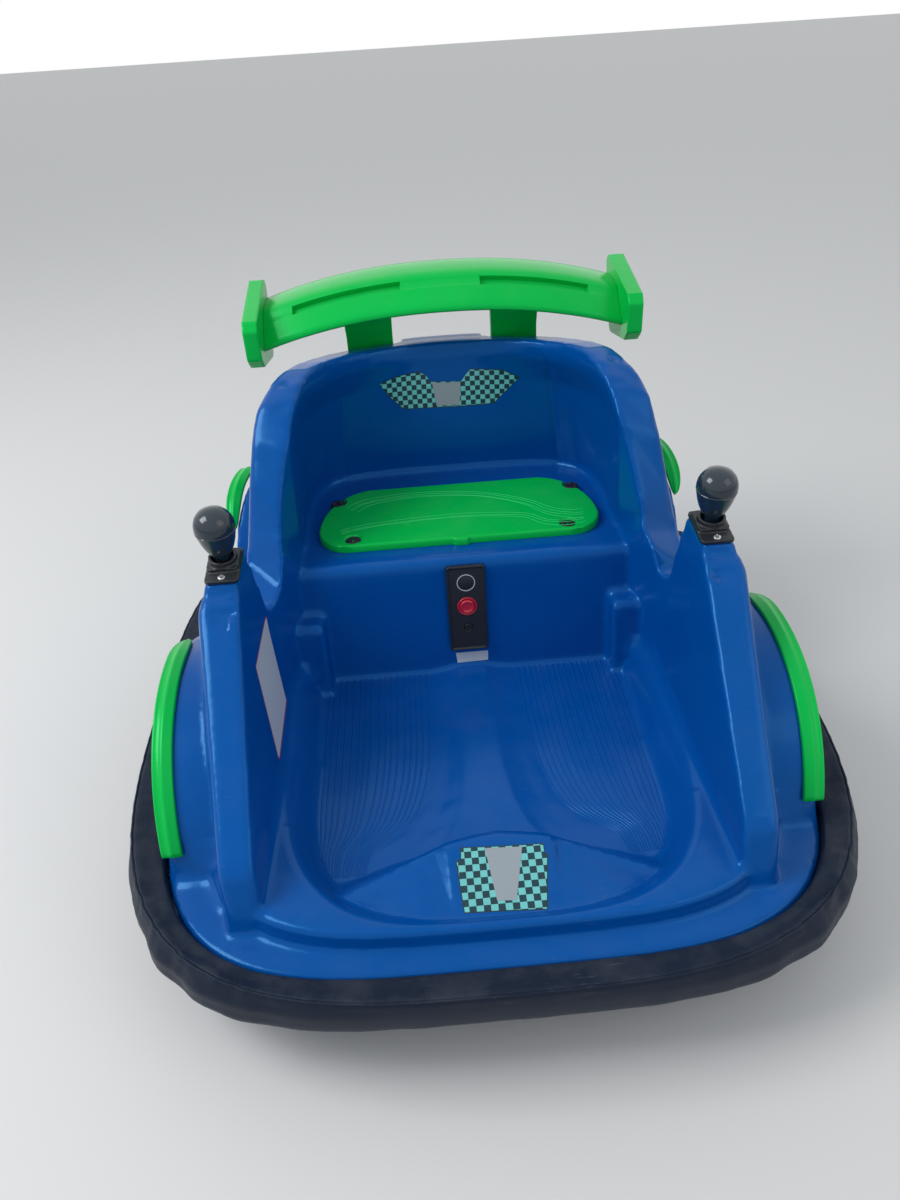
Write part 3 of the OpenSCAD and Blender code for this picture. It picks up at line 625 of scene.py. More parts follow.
class Workshop:
    """What every sub-assembly needs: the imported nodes, and the finishes made so far."""

    def __init__(self, frame: dict) -> None:
        """Keep the frame and start the finishes.
        """
        self.nodes: dict[str, Object] = frame["nodes"]
        record: dict = frame["record"]
        self.effects = Effects()
        self.made: dict[str, Material] = {}
        self.body_of = {node: body for body, nodes in record["behaviour"]["bodies"].items() for node in nodes}
        self.slot_of = {row["node"]: row["material_slot"] for row in record["subparts"]}
        self.repeats = RepeatTree()
        self.sweeps = SweepTree()

    def material(self, finish: Finish) -> Material:
        """Give a finish's material, built at its first use.

        Args:
            finish: The finish.

        Returns:
            The material.
        """
        if finish.name not in self.made:
            self.made[finish.name] = finish.material(self.effects)
        return self.made[finish.name]

    def piece(
        self, tag: Tag, points: np.ndarray, faces: Faces, sharp: float = 40.0, place: Matrix | None = None
    ) -> Object:
        """Make a closed piece from points and faces.

        Args:
            tag: What the piece is.
            points: Its points, in millimetres.
            faces: Its faces.
            sharp: Angle in degrees past which an edge stays sharp.
            place: Where the points go, if they aren't in the car's frame yet.

        Returns:
            The new piece.
        """
        mesh = mesh_of(tag.name, points, faces)
        if place is not None:
            mesh.transform(place)
        clean(mesh, MERGE, thin=THIN)
        return self.hand_over(tag, mesh, sharp)

    def repeat(
        self, tag: Tag, pattern: Shape, places: Sequence[tuple[Point, Point, Point]], spin: float = 0.0
    ) -> None:
        """Repeat a pattern at places and make the result one plain piece.

        Args:
            tag: What the piece is.
            pattern: Points in millimetres and faces of one pattern, standing on Z.
            places: Each one's place, the way that it stands and the way that its X goes.
            spin: Greatest random turn about its own axis, in radians.
        """
        small = mesh_of(f"{tag.name}_pattern", *pattern)
        clean(small, MERGE)
        one = bpy.data.objects.new(f"{tag.name}_pattern", small)
        spots, *ways = zip(*places)
        mesh = mesh_of(f"{tag.name}_points", spots)
        for label, values in zip(("facing", "heading"), ways):
            attribute = mesh.attributes.new(label, "FLOAT_VECTOR", "POINT")
            attribute.data.foreach_set("vector", np.array(values, dtype=float).ravel())
        result = self.repeats.run(mesh, self.material(tag.finish), Pattern=one, Size=1.0, Spin=spin)
        bpy.data.objects.remove(one)
        self.hand_over(tag, result, sharp=35.0)

    def sweep(
        self, tag: Tag, lines: Sequence[np.ndarray], radius: float, closed: bool = False, sides: int = 8
    ) -> None:
        """Sweep a bead along lines and make the result one plain piece.

        Args:
            tag: What the piece is.
            lines: The lines, in millimetres.
            radius: The bead's radius, in millimetres.
            closed: Whether the lines come back to their starts.
            sides: Count of the bead's sides.
        """
        edges: list[tuple[int, int]] = []
        first = 0
        for line in lines:
            last = first + len(line) - 1
            edges += [(i, i + 1) for i in range(first, last)]
            if closed:
                edges.append((last, first))
            first = last + 1
        mesh = mesh_of(f"{tag.name}_lines", np.concatenate(lines), edges=edges)
        result = self.sweeps.run(mesh, self.material(tag.finish), Radius=radius * MM, Sides=sides)
        self.hand_over(tag, result, sharp=50.0)

    def hand_over(self, tag: Tag, mesh: Mesh, sharp: float) -> Object:
        """Finish a mesh, join it to its body and hide the nodes that it stands for.

        Args:
            tag: What the piece is.
            mesh: Its mesh.
            sharp: Angle in degrees past which an edge stays sharp.

        Returns:
            The new piece.
        """
        piece = stood_in_scene(tag.name, mesh)
        mesh.materials.clear()
        mesh.materials.append(self.material(tag.finish))
        mesh.polygons.foreach_set("use_smooth", [True] * len(mesh.polygons))
        mesh.set_sharp_from_angle(angle=math.radians(sharp))
        mesh.update()
        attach(piece, tag.body)
        if tag.stands_for:
            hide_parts(*tag.stands_for)
        LOG.info("%s: %d faces", tag.name, len(mesh.polygons))
        return piece

    def rounded(self, node: str, cell: float, smoothing: int, most_faces: int) -> Mesh:
        """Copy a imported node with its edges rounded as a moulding's are.

        Args:
            node: The node.
            cell: Cell of the remesh, in millimetres.
            smoothing: Rounds of smoothing.
            most_faces: Count of triangles that the copy is thinned to.

        Returns:
            The rounded mesh.
        """
        mesh = self.nodes[node].data.copy()
        clean(mesh, WELD, outward=False)
        shell = stood_in_scene("rounding", mesh)
        remesh = shell.modifiers.new("remesh", "REMESH")
        remesh.mode = "VOXEL"
        remesh.voxel_size = cell * MM
        smooth = shell.modifiers.new("smooth", "SMOOTH")
        smooth.factor = 0.5
        smooth.iterations = smoothing
        result = evaluated(shell)
        triangles = 2 * len(result.polygons)
        if triangles > most_faces:
            shell.modifiers.clear()
            shell.data = result
            thin = shell.modifiers.new("thin", "DECIMATE")
            thin.ratio = most_faces / triangles
            result = evaluated(shell)
        bpy.data.objects.remove(shell)
        return result

    def round_off(self, node: str, cell: float, smoothing: int, most_faces: int) -> None:
        """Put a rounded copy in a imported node's place, with the node's own finish.

        Args:
            node: The node.
            cell: Cell of the remesh, in millimetres.
            smoothing: Rounds of smoothing.
            most_faces: Count of triangles that the copy is thinned to.
        """
        mesh = self.rounded(node, cell, smoothing, most_faces)
        tag = Tag(f"{node}_rounded", BY_SLOT[self.slot_of[node]], self.body_of[node], stands_for=(node,))
        self.hand_over(tag, mesh, sharp=55.0)


class ModifierTree:
    """Geometry Nodes tree whose modifier makes a piece's mesh out of points or lines."""

    def __init__(self, name: str, **sockets: str) -> None:
        """Start the tree.

        Args:
            name: The tree's name.
            sockets: Names and kinds of its inputs between the geometry and the finish.
        """
        self.tree = bpy.data.node_groups.new(name, "GeometryNodeTree")
        face = self.tree.interface
        face.new_socket("Geometry", in_out="INPUT", socket_type="NodeSocketGeometry")
        self.keys = {
            label: face.new_socket(label, in_out="INPUT", socket_type=f"NodeSocket{kind}").identifier
            for label, kind in {**sockets, "Finish": "Material"}.items()
        }
        face.new_socket("Geometry", in_out="OUTPUT", socket_type="NodeSocketGeometry")
        self.kit = NodeKit(self.tree)
        self.entry = self.kit.add("NodeGroupInput").outputs

    def end(self, geometry: NodeSocket) -> None:
        """Make the geometry real, give it the finish and put it out.

        Args:
            geometry: What is made real.
        """
        real = self.kit.add("GeometryNodeRealizeInstances", Geometry=geometry).outputs["Geometry"]
        dress = self.kit.add("GeometryNodeSetMaterial", Geometry=real, Material=self.entry["Finish"])
        self.kit.add("NodeGroupOutput", Geometry=dress.outputs["Geometry"])

    def run(self, mesh: Mesh, material: Material, **values: object) -> Mesh:
        """Put a mesh through the tree.

        Args:
            mesh: The points or lines.
            material: The finish's material.
            values: Values of the tree's inputs.

        Returns:
            The plain mesh that comes out.
        """
        holder = stood_in_scene(mesh.name, mesh)
        modifier = holder.modifiers.new("tree", "NODES")
        modifier.node_group = self.tree
        for label, value in {**values, "Finish": material}.items():
            modifier[self.keys[label]] = value
        result = evaluated(holder)
        holder.modifiers.clear()
        bpy.data.objects.remove(holder)
        return result


class RepeatTree(ModifierTree):
    """Geometry Nodes tree that puts one small pattern on many points."""

    SEED = 7

    def __init__(self) -> None:
        """Build the tree."""
        super().__init__("repeat_on_points", Pattern="Object", Size="Float", Spin="Float")
        kit = self.kit
        facing, heading = (
            kit.add("GeometryNodeInputNamedAttribute", data_type="FLOAT_VECTOR", Name=label)
            for label in ("facing", "heading")
        )
        stand = kit.add(
            "FunctionNodeAlignRotationToVector", axis="Z", pivot_axis="AUTO",
            Vector=facing.outputs["Attribute"],
        )
        turn = kit.add(
            "FunctionNodeAlignRotationToVector", axis="X", pivot_axis="Z",
            Vector=heading.outputs["Attribute"], Rotation=stand.outputs["Rotation"],
        )
        chance = kit.add("FunctionNodeRandomValue", data_type="FLOAT", Seed=self.SEED)
        kit.link(self.entry["Spin"], chance.inputs[3])
        about = kit.add("ShaderNodeCombineXYZ", Z=chance.outputs[1])
        extra = kit.add("FunctionNodeEulerToRotation", Euler=about.outputs["Vector"])
        spun = kit.add(
            "FunctionNodeRotateRotation", rotation_space="LOCAL", Rotation=turn.outputs["Rotation"],
            Rotate_By=extra.outputs["Rotation"],
        )
        pattern = kit.add("GeometryNodeObjectInfo", Object=self.entry["Pattern"])
        many = kit.add(
            "GeometryNodeInstanceOnPoints", Points=self.entry["Geometry"],
            Instance=pattern.outputs["Geometry"], Rotation=spun.outputs["Rotation"], Scale=self.entry["Size"],
        )
        self.end(many.outputs["Instances"])


class SweepTree(ModifierTree):
    """Geometry Nodes tree that sweeps a round bead along lines."""

    def __init__(self) -> None:
        """Build the tree."""
        super().__init__("bead_along_lines", Radius="Float", Sides="Int")
        kit = self.kit
        curve = kit.add("GeometryNodeMeshToCurve", Mesh=self.entry["Geometry"])
        ring = kit.add(
            "GeometryNodeCurvePrimitiveCircle", Radius=self.entry["Radius"], Resolution=self.entry["Sides"]
        )
        bead = kit.add(
            "GeometryNodeCurveToMesh", Fill_Caps=True, Curve=curve.outputs["Curve"],
            Profile_Curve=ring.outputs["Curve"],
        )
        self.end(bead.outputs["Mesh"])


@dataclass
class PhotoCamera:
    """The camera, placed and turned as the photograph's was."""

    place: Point = (-0.0396, -0.7166, 0.6914)
    down: float = math.radians(34.44)
    turn: float = math.radians(-1.65)
    roll: float = math.radians(-3.77)
    focal_px: float = 890.9
    height_px: float = 1200.0
    sensor: float = 36.0

    def build(self) -> None:
        """Add the camera and make it the scene's own."""
        data = bpy.data.cameras.new("camera")
        data.sensor_fit = "VERTICAL"
        data.sensor_height = self.sensor
        data.lens = self.focal_px / self.height_px * self.sensor
        data.clip_start = 0.02
        camera = bpy.data.objects.new("camera", data)
        forward = Vector((
            -math.sin(self.turn) * math.cos(self.down),
            math.cos(self.turn) * math.cos(self.down),
            -math.sin(self.down),
        ))
        right = Vector((math.cos(self.turn), math.sin(self.turn), 0))
        up = right.cross(forward)
        across = math.cos(self.roll) * right + math.sin(self.roll) * up
        upward = math.cos(self.roll) * up - math.sin(self.roll) * right
        frame = Matrix((across, upward, -forward)).transposed().to_4x4()
        frame.translation = Vector(self.place)
        camera.matrix_world = frame
        bpy.context.scene.collection.objects.link(camera)
        bpy.context.scene.camera = camera


@dataclass
class Studio:
    """Pale floor, soft light and a plain world that is white where the camera sees it."""

    floor_size: float = 30.0
    floor_shade: float = 0.7
    world_strength: float = 0.6
    sky: Colour = (0.93, 0.97, 1.0)
    lamps: tuple[tuple[str, Point, float, float], ...] = (
        ("key", (-1.6, -0.2, 1.9), 30.0, 1.1),
        ("fill", (1.8, -1.3, 1.8), 8.0, 1.6),
    )

    def build(self) -> None:
        """Add the floor, the lamps and the world."""
        scene = bpy.context.scene
        scene.view_settings.view_transform = "Standard"
        half = self.floor_size / 2
        mesh = bpy.data.meshes.new("floor")
        mesh.from_pydata(
            [(-half, -half, 0), (half, -half, 0), (half, half, 0), (-half, half, 0)], [], [(0, 1, 2, 3)]
        )
        floor = bpy.data.objects.new("floor", mesh)
        scene.collection.objects.link(floor)
        material = bpy.data.materials.new("floor")
        material.use_nodes = True
        shader = material.node_tree.nodes["Principled BSDF"]
        shader.inputs["Base Color"].default_value = (*(3 * (self.floor_shade,)), 1)
        shader.inputs["Roughness"].default_value = 0.6
        mesh.materials.append(material)
        self.build_world(scene)
        for name, place, watts, size in self.lamps:
            self.lamp(name, place, watts, size)

    def build_world(self, scene: bpy.types.Scene) -> None:
        """Light the scene softly, and show plain white to the camera, to gloss and through glass.

        Args:
            scene: The scene.
        """
        world = bpy.data.worlds.new("world")
        world.use_nodes = True
        kit = NodeKit(world.node_tree)
        soft = world.node_tree.nodes["Background"]
        soft.inputs["Color"].default_value = (*self.sky, 1)
        soft.inputs["Strength"].default_value = self.world_strength
        white = kit.add("ShaderNodeBackground", Color=(1, 1, 1, 1), Strength=1.0)
        rays = kit.add("ShaderNodeLightPath")
        seen = rays.outputs["Is Camera Ray"]
        for name in ("Is Glossy Ray", "Is Transmission Ray"):
            seen = kit.sum_up("MAXIMUM", seen, rays.outputs[name])
        mix = kit.add("ShaderNodeMixShader")
        kit.link(seen, mix.inputs[0])
        kit.link(soft.outputs[0], mix.inputs[1])
        kit.link(white.outputs[0], mix.inputs[2])
        kit.link(mix.outputs[0], world.node_tree.nodes["World Output"].inputs["Surface"])
        scene.world = world

    def lamp(self, name: str, place: Point, watts: float, size: float) -> None:
        """Add one soft lamp that faces the car.

        Args:
            name: The lamp's name.
            place: Where it hangs, in metres.
            watts: Its power.
            size: The length of its square face's side.
        """
        data = bpy.data.lights.new(name, "AREA")
        data.energy = watts
        data.size = size
        lamp = bpy.data.objects.new(name, data)
        lamp.location = place
        lamp.rotation_euler = (Vector((0, 0, 0.2)) - Vector(place)).to_track_quat("-Z", "Y").to_euler()
        bpy.context.scene.collection.objects.link(lamp)


@dataclass(frozen=True)
class Crease:
    """A soft groove or dent on each side of the tub: its line, its depths left and right, and its reach."""

    line: tuple[Point, ...]
    depths: tuple[float, float]
    reach: float

    def away(self, points: np.ndarray) -> np.ndarray:
        """Distance of each point from the line.

        Args:
            points: The points, in millimetres.

        Returns:
            The distances.
        """
        least = np.full(len(points), 1e9)
        line = np.array(self.line, dtype=float)
        for a, b in zip(line, line[1:]):
            run = b - a
            share = np.clip(((points - a) @ run) / (run @ run), 0, 1)
            least = np.minimum(least, np.linalg.norm(points - a - share[:, None] * run, axis=1))
        return least


@dataclass
class Tub:
    """The blue body shell, with every edge rounded as a moulding's is, and its soft creases."""

    node: str = "body_shell"
    cell: float = 2.7
    smoothing: int = 6
    most_faces: int = 188000
    creases: tuple[Crease, ...] = (
        Crease(
            ((104, 228, 352), (113, 234, 339), (118, 244, 307), (123, 248, 271), (126, 251, 238),
             (127, 250, 214)),
            (1.2, 1.6), 4.5,
        ),
        Crease(((169, 162, 370), (168.5, 162, 370)), (2.6, 2.6), 3.6),
        Crease(((171, 133, 357), (165, 133, 357)), (1.6, 1.6), 5.5),
        Crease(((219, -83, 262.5), (209, -83, 262.0)), (4.6, 4.6), 5.0),
        Crease(((52, -237, 118), (42, -292, 110)), (1.0, 1.0), 3.5),
    )

    # Boxes of one side in which an edge of the solid runs out softly: x, y and z limits, rounds
    soft: tuple[tuple[tuple[float, float], tuple[float, float], tuple[float, float], int], ...] = (
        ((160, 196), (-190, 45), (96, 122), 30),
        ((222, 284), (-262, -196), (92.5, 128), 26),
        ((150, 222), (62, 190), (232, 368), 12),
    )

    def soften(self, mesh: Mesh) -> None:
        """Smooth the mesh inside the soft boxes.

        Args:
            mesh: The mesh.
        """
        work = bmesh.new()
        work.from_mesh(mesh)
        for across, along_car, up, rounds in self.soft:
            chosen = [
                v for v in work.verts
                if across[0] < abs(v.co.x) / MM < across[1]
                and along_car[0] < v.co.y / MM < along_car[1]
                and up[0] < v.co.z / MM < up[1]
            ]
            for _ in range(rounds):
                bmesh.ops.smooth_vert(
                    work, verts=chosen, factor=0.5, use_axis_x=True, use_axis_y=True, use_axis_z=True
                )
        work.to_mesh(mesh)
        work.free()

    def build(self, shop: Workshop) -> Object:
        """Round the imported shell's edges in a copy that stands for it, and press its creases in.

        Args:
            shop: The workshop.

        Returns:
            The rounded shell.
        """
        mesh = shop.rounded(self.node, self.cell, self.smoothing, self.most_faces)
        self.soften(mesh)
        count = len(mesh.vertices)
        places, normals = np.empty(count * 3), np.empty(count * 3)
        mesh.vertices.foreach_get("co", places)
        mesh.vertices.foreach_get("normal", normals)
        places, normals = places.reshape(-1, 3) / MM, normals.reshape(-1, 3)
        moved = places.copy()
        for crease in self.creases:
            for side, depth in zip(Side, crease.depths):
                away = crease.away(places * (side.value, 1, 1))
                moved -= normals * (depth * np.exp(-((away / crease.reach) ** 2)))[:, None]
        mesh.vertices.foreach_set("co", (moved * MM).ravel())
        mesh.update()
        return shop.hand_over(Tag("tub", BLUE, stands_for=(self.node,)), mesh, sharp=80.0)


def surface_of(piece: Object) -> BVHTree:
    """Give a tree of a piece's faces that rays can be cast at."""
    mesh = piece.data
    return BVHTree.FromPolygons([v.co[:] for v in mesh.vertices], [f.vertices[:] for f in mesh.polygons])


@dataclass(frozen=True)
class Print:
    """One blank sheet stuck on the tub: its outline in two axes, and the way it is pressed on."""

    name: str
    outline: Outline
    across: Point
    along: Point
    start: Point
    press: Point
    finish: Finish
    lift: float


@dataclass
class Prints:
    """The stickers' places: two checkers with blank middles, a blank plate and a small blank label."""

    square: float = 5.6
    step: float = 3.0
    thickness: float = 0.5
    badge: Outline = (
        (-75.1, 325.4), (-53.6, 331.6), (-29.4, 333.4), (-22.8, 329.8), (-16.6, 321.2), (17.8, 319.4),
        (25.2, 328.8), (28.8, 332.2), (64.9, 330.4), (83.7, 321.8), (72.0, 309.0), (56.0, 293.0),
        (50.0, 291.0), (12.9, 290.4), (-46.0, 292.4), (-52.0, 294.5), (-64.8, 308.4),
    )
    badge_bar: Outline = ((-15.6, 320.3), (17.0, 318.5), (15.0, 292.0), (-12.0, 292.6))
    deck: Outline = (
        (-30.0, -237.5), (-30.8, -247.0), (-34.5, -249.5), (-31.6, -289.5), (31.0, -292.5), (37.8, -249.5),
        (35.9, -248.0), (35.9, -240.0),
    )
    deck_bar: Outline = ((-11.0, -239.0), (19.0, -240.5), (9.0, -284.0), (-6.0, -283.0))
    plate: Outline = ((-13.6, 205.9), (-90.3, 207.3), (-117.0, 121.5), (-37.2, 122.5))
    label: Outline = ((-15.0, 101.6), (19.6, 101.5), (19.1, 90.4), (-14.0, 89.8))

    @staticmethod
    def grown(outline: Outline, by: float) -> Outline:
        """Grow an outline about its middle.

        Args:
            outline: The outline.
            by: How far it grows on each side.

        Returns:
            The grown outline.
        """
        points = np.array(outline, dtype=float)
        middle = (points.min(axis=0) + points.max(axis=0)) / 2
        half = (points.max(axis=0) - points.min(axis=0)) / 2
        return tuple(map(tuple, middle + (points - middle) * (1 + by / half)))

    def sheets(self) -> list[Print]:
        """List the sheets, each border below what it borders.

        Returns:
            The sheets.
        """
        back = ((1, 0, 0), (0, 0, 1), (0, 150, 0), (0, 1, 0))
        deck = ((1, 0, 0), (0, 1, 0), (0, 0, 160), (0, 0, -1))
        wall = ((0, 1, 0), (0, 0, 1), (-120, 0, 0), (-1, 0, 0))
        bench = ((1, 0, 0), (0, 0, 1), (0, 0, 0), (0, 1, 0))
        return [
            Print("badge_edge", self.grown(self.badge, 1.0), *back, DARK_PRINT, 0.1),
            Print("badge_checker", self.badge, *back, CHECKER, 0.25),
            Print("badge_bar", self.badge_bar, *back, GREY_PRINT, 0.4),
            Print("deck_edge", self.grown(self.deck, 0.9), *deck, DARK_PRINT, 0.1),
            Print("deck_checker", self.deck, *deck, CHECKER, 0.25),
            Print("deck_bar", self.deck_bar, *deck, GREY_PRINT, 0.4),
            Print("plate_edge", self.grown(self.plate, 1.2), *wall, RED_EDGE, 0.1),
            Print("plate_face", self.plate, *wall, LABEL, 0.25),
            Print("small_label", self.label, *bench, LABEL, 0.2),
        ]

    def build(self, shop: Workshop, tub: BVHTree) -> None:
        """Lay each sheet on the tub."""
        for sheet in self.sheets():
            self.lay(shop, tub, sheet)

    def lay(self, shop: Workshop, tub: BVHTree, sheet: Print) -> None:
        """Cut one sheet into small faces, press it on the tub and give it its thickness.

        Args:
            shop: The workshop.
            tub: The tub's faces.
            sheet: The sheet.
        """
        work = bmesh.new()
        work.faces.new([work.verts.new((u, v, 0)) for u, v in sheet.outline])
        bmesh.ops.triangulate(work, faces=work.faces[:])
        for axis, way in ((0, (1, 0, 0)), (1, (0, 1, 0))):
            values = [p[axis] for p in sheet.outline]
            for place in np.arange(min(values) + self.step, max(values), self.step):
                parts = work.verts[:] + work.edges[:] + work.faces[:]
                spot = (place, 0, 0) if axis == 0 else (0, place, 0)
                bmesh.ops.bisect_plane(work, geom=parts, dist=1e-5, plane_co=spot, plane_no=way)
        squares = work.loops.layers.uv.new("squares")
        for face in work.faces:
            for loop in face.loops:
                loop[squares].uv = (loop.vert.co.x / self.square, loop.vert.co.y / self.square)
        across, along_way, start, press = map(Vector, (sheet.across, sheet.along, sheet.start, sheet.press))
        for vert in work.verts:
            spot = (start + across * vert.co.x + along_way * vert.co.y) * MM
            hit, normal, _, _ = tub.ray_cast(spot, press)
            if normal.dot(press) > 0:
                normal = -normal
            vert.co = hit + normal * sheet.lift * MM
        work.normal_update()
        if sum(face.normal.dot(press) * face.calc_area() for face in work.faces) > 0:
            bmesh.ops.reverse_faces(work, faces=work.faces[:])
        grown = bmesh.ops.extrude_face_region(work, geom=work.faces[:])
        under = [v for v in grown["geom"] if isinstance(v, bmesh.types.BMVert)]
        bmesh.ops.translate(work, verts=under, vec=press * self.thickness * MM)
        bmesh.ops.recalc_face_normals(work, faces=work.faces[:])
        mesh = bpy.data.meshes.new(sheet.name)
        work.to_mesh(mesh)
        work.free()
        shop.hand_over(Tag(sheet.name, sheet.finish, slot="blue_plastic"), mesh, sharp=40.0)


@dataclass
class FloorRidges:
    """Fine ridges on the foot well's floor, which fan out beside the tunnel to the front corners."""

    count: int = 17
    radius: float = 1.15
    sunk: float = 0.68
    rear_y: float = 36.0
    front_y: float = -226.0
    step: float = 4.0
    cast_from: float = 140.0
    uneven: float = 0.012
    seed: int = 5
    floor_top: float = 82.2
    inner: Outline = ((-225, 112), (-198, 104), (-164, 68), (-90, 51), (40, 49))
    outer: Outline = ((-225, 150), (-150, 153), (40, 152))

    def build(self, shop: Workshop, tub: BVHTree) -> None:
        """Lay the ridges on the floor.

        Args:
            shop: The workshop.
            tub: The tub's faces.
        """
        chance = np.random.default_rng(self.seed)
        lines = []
        for share in np.linspace(0, 1, self.count) + chance.uniform(-self.uneven, self.uneven, self.count):
            for side in Side:
                line = self.line(tub, share, side.value)
                if len(line) > 8:
                    lines.append(line)
        shop.sweep(Tag("floor_ridges", BLUE), lines, self.radius)

    def line(self, tub: BVHTree, share: float, side: int) -> np.ndarray:
        """Follow one ridge over the floor.

        Args:
            tub: The tub's faces.
            share: How far out it lies, 0 to 1.
            side: Side of the car, -1 or 1.

        Returns:
            Its points.
        """
        points = []
        inner = smooth_line(self.inner, 8)
        for y in np.arange(self.rear_y, self.front_y, -self.step):
            near, far = table_value(inner, y), table_value(self.outer, y)
            x = side * (near + (far - near) * share)
            hit, _, _, _ = tub.ray_cast(Vector((x, y, self.cast_from)) * MM, Vector((0, 0, -1)))
            if hit is None or hit.z > self.floor_top * MM:
                if len(points) > 3:
                    break
                continue
            points.append((x, y, hit.z / MM - self.sunk))
        return np.array(points)


def ring_line(half_w: float, half_l: float, squareness: float, height: float, count: int) -> np.ndarray:
    """Give evenly spaced points of an oval with squared corners.

    Args:
        half_w: Half its width.
        half_l: Half its length.
        squareness: Power of the oval; 2 is an ellipse.
        height: Its height.
        count: Count of points.

    Returns:
        The points.
    """
    angle = np.linspace(0, 2 * math.pi, 4 * count, endpoint=False)
    power = 2 / squareness
    c, s = np.cos(angle), np.sin(angle)
    x = half_w * np.sign(c) * np.abs(c) ** power
    y = half_l * np.sign(s) * np.abs(s) ** power
    return along(np.stack([x, y, np.full_like(x, height)], axis=1), count)


@dataclass
class BumperCover:
    """The soft vinyl bumper: a stuffed ring with a sewn seam at its upper outer edge."""

    inner_half_w: float = 290.0
    inner_half_l: float = 332.0
    side_w: float = 35.0
    end_w: float = 28.0
    seam_share: float = 0.95
    seam_height: float = 104.0
    count: int = 720
    stitch_step: float = 5.5
    seed: int = 11
    lap: float = 2400.0

    # Length and size of each wave, and how far a fold leans
    puckers: Outline = ((13.0, 0.16), (21.0, 0.22), (34.0, 0.2))
    folds: tuple[Point, ...] = ((48.0, 0.5, 0.05), (75.0, 0.7, -0.04))

    # Spread and sway of each wave's wandering, and its size away from the corners and what they add
    pucker_drift: tuple[float, float] = (0.035, 6)
    fold_drift: tuple[float, float] = (0.03, 5)
    pucker_swell: tuple[float, float] = (0.5, 1.6)
    fold_swell: tuple[float, float] = (0.25, 1.1)
    pucker_reach: float = 9.0
    fold_from: float = 8.0
    held_edge: float = 10.0
    seam_pull: float = 0.9
    seam_reach: float = 2.2
    corner_from: float = 0.45
    corner_to: float = 0.8
    piping_r: float = 1.1
    stitch_inward: float = 3.2
    stitch_rise: float = 0.15
    stitch: Outline = ((0, -1.7), (0.32, -1.5), (0.42, 0), (0.32, 1.5), (0, 1.7))

    # Rings over the top, round the outside and back below: share of the way out, height and squareness
    outline: tuple[Point, ...] = (
        (0.012, 96.0, 4.0), (0.04, 98.5, 4.0), (0.12, 100.0, 3.9), (0.40, 101.5, 3.7), (0.66, 103.4, 3.45),
        (0.84, 104.6, 3.3), (0.91, 104.3, 3.25), (0.95, 104.0, 3.25), (0.97, 101.5, 3.27),
        (0.988, 97.0, 3.35), (1.00, 90.0, 3.5), (0.985, 82.0, 3.55), (0.94, 74.5, 3.65), (0.86, 69.0, 3.7),
        (0.70, 64.0, 3.8),
        (0.42, 62.0, 3.9), (0.16, 63.2, 4.0), (0.012, 66.0, 4.0),
    )

    def build(self, shop: Workshop) -> None:
        """Build the cover, its piping and its stitches.

        Args:
            shop: The workshop.
        """
        rows = smooth_line(self.outline, 4)
        least = self.outline[0][0]
        rings = self.pucker(np.array([
            ring_line(
                self.inner_half_w + max(share, least) * self.side_w,
                self.inner_half_l + max(share, least) * self.end_w,
                squareness,
                height,
                self.count,
            )
            for share, height, squareness in rows
        ]))
        count = self.count
        faces = grid_faces(len(rows), count)
        last = (len(rows) - 1) * count
        faces += [(last + c, last + (c + 1) % count, (c + 1) % count, c) for c in range(count)]
        tag = Tag("bumper_cover", VINYL, stands_for=("bumper_ring",))
        cover = shop.piece(tag, rings.reshape(-1, 3), faces, sharp=60.0)
        seam = rings[self.seam_row(rows)]
        shop.sweep(Tag("bumper_piping", VINYL), [seam], self.piping_r, closed=True)
        self.build_stitches(shop, seam)

    def seam_row(self, rows: np.ndarray) -> int:
        """The row of the cover that the seam follows."""
        off = np.abs(rows[:, 0] - self.seam_share) + np.abs(rows[:, 1] - self.seam_height) / 50
        return int(np.argmin(off))

    def pucker(self, rings: np.ndarray) -> np.ndarray:
        """Pull the cover into puckers along its seam and into folds at its corners.

        Args:
            rings: Rows of rings of points.

        Returns:
            The moved points.
        """
        chance = np.random.default_rng(self.seed)
        rows, count, _ = rings.shape
        around = np.roll(rings, -1, axis=1) - np.roll(rings, 1, axis=1)
        down = np.gradient(rings, axis=0)
        normal = np.cross(around, down)
        normal /= np.maximum(np.linalg.norm(normal, axis=2, keepdims=True), 1e-9)
        outward = rings - rings.mean(axis=1, keepdims=True)
        if (normal[rows // 2] * outward[rows // 2]).sum() < 0:
            normal = -normal
        step = np.linalg.norm(np.diff(rings, axis=0), axis=2).mean(axis=1)
        reach = np.concatenate([[0], np.cumsum(step)])
        seam = int(np.argmax(rings[:, 0, 0] > self.inner_half_w + self.seam_share * self.side_w - 0.4))
        away = (reach - reach[seam])[:, None]
        corner = self.corner_share(rings[rows // 2])[None, :]
        move = np.zeros((rows, count))
        tight = np.exp(-np.abs(away) / self.pucker_reach)
        for length, size in self.puckers:
            wave = np.sin(self.phases(chance, length, *self.pucker_drift, count))
            move += size * tight * wave * (self.pucker_swell[0] + self.pucker_swell[1] * corner)
        for length, size, lean in self.folds:
            wave = np.sin(self.phases(chance, length, *self.fold_drift, count) + lean * away)
            swell = self.fold_swell[0] + self.fold_swell[1] * corner
            move += size * wave * swell * np.clip(np.abs(away) / self.fold_from, 0, 1)
        move -= self.seam_pull * np.exp(-((away / self.seam_reach) ** 2))
        held = np.clip(np.minimum(reach, reach[-1] - reach) / self.held_edge, 0, 1)[:, None]
        return rings + normal * (move * held)[:, :, None]

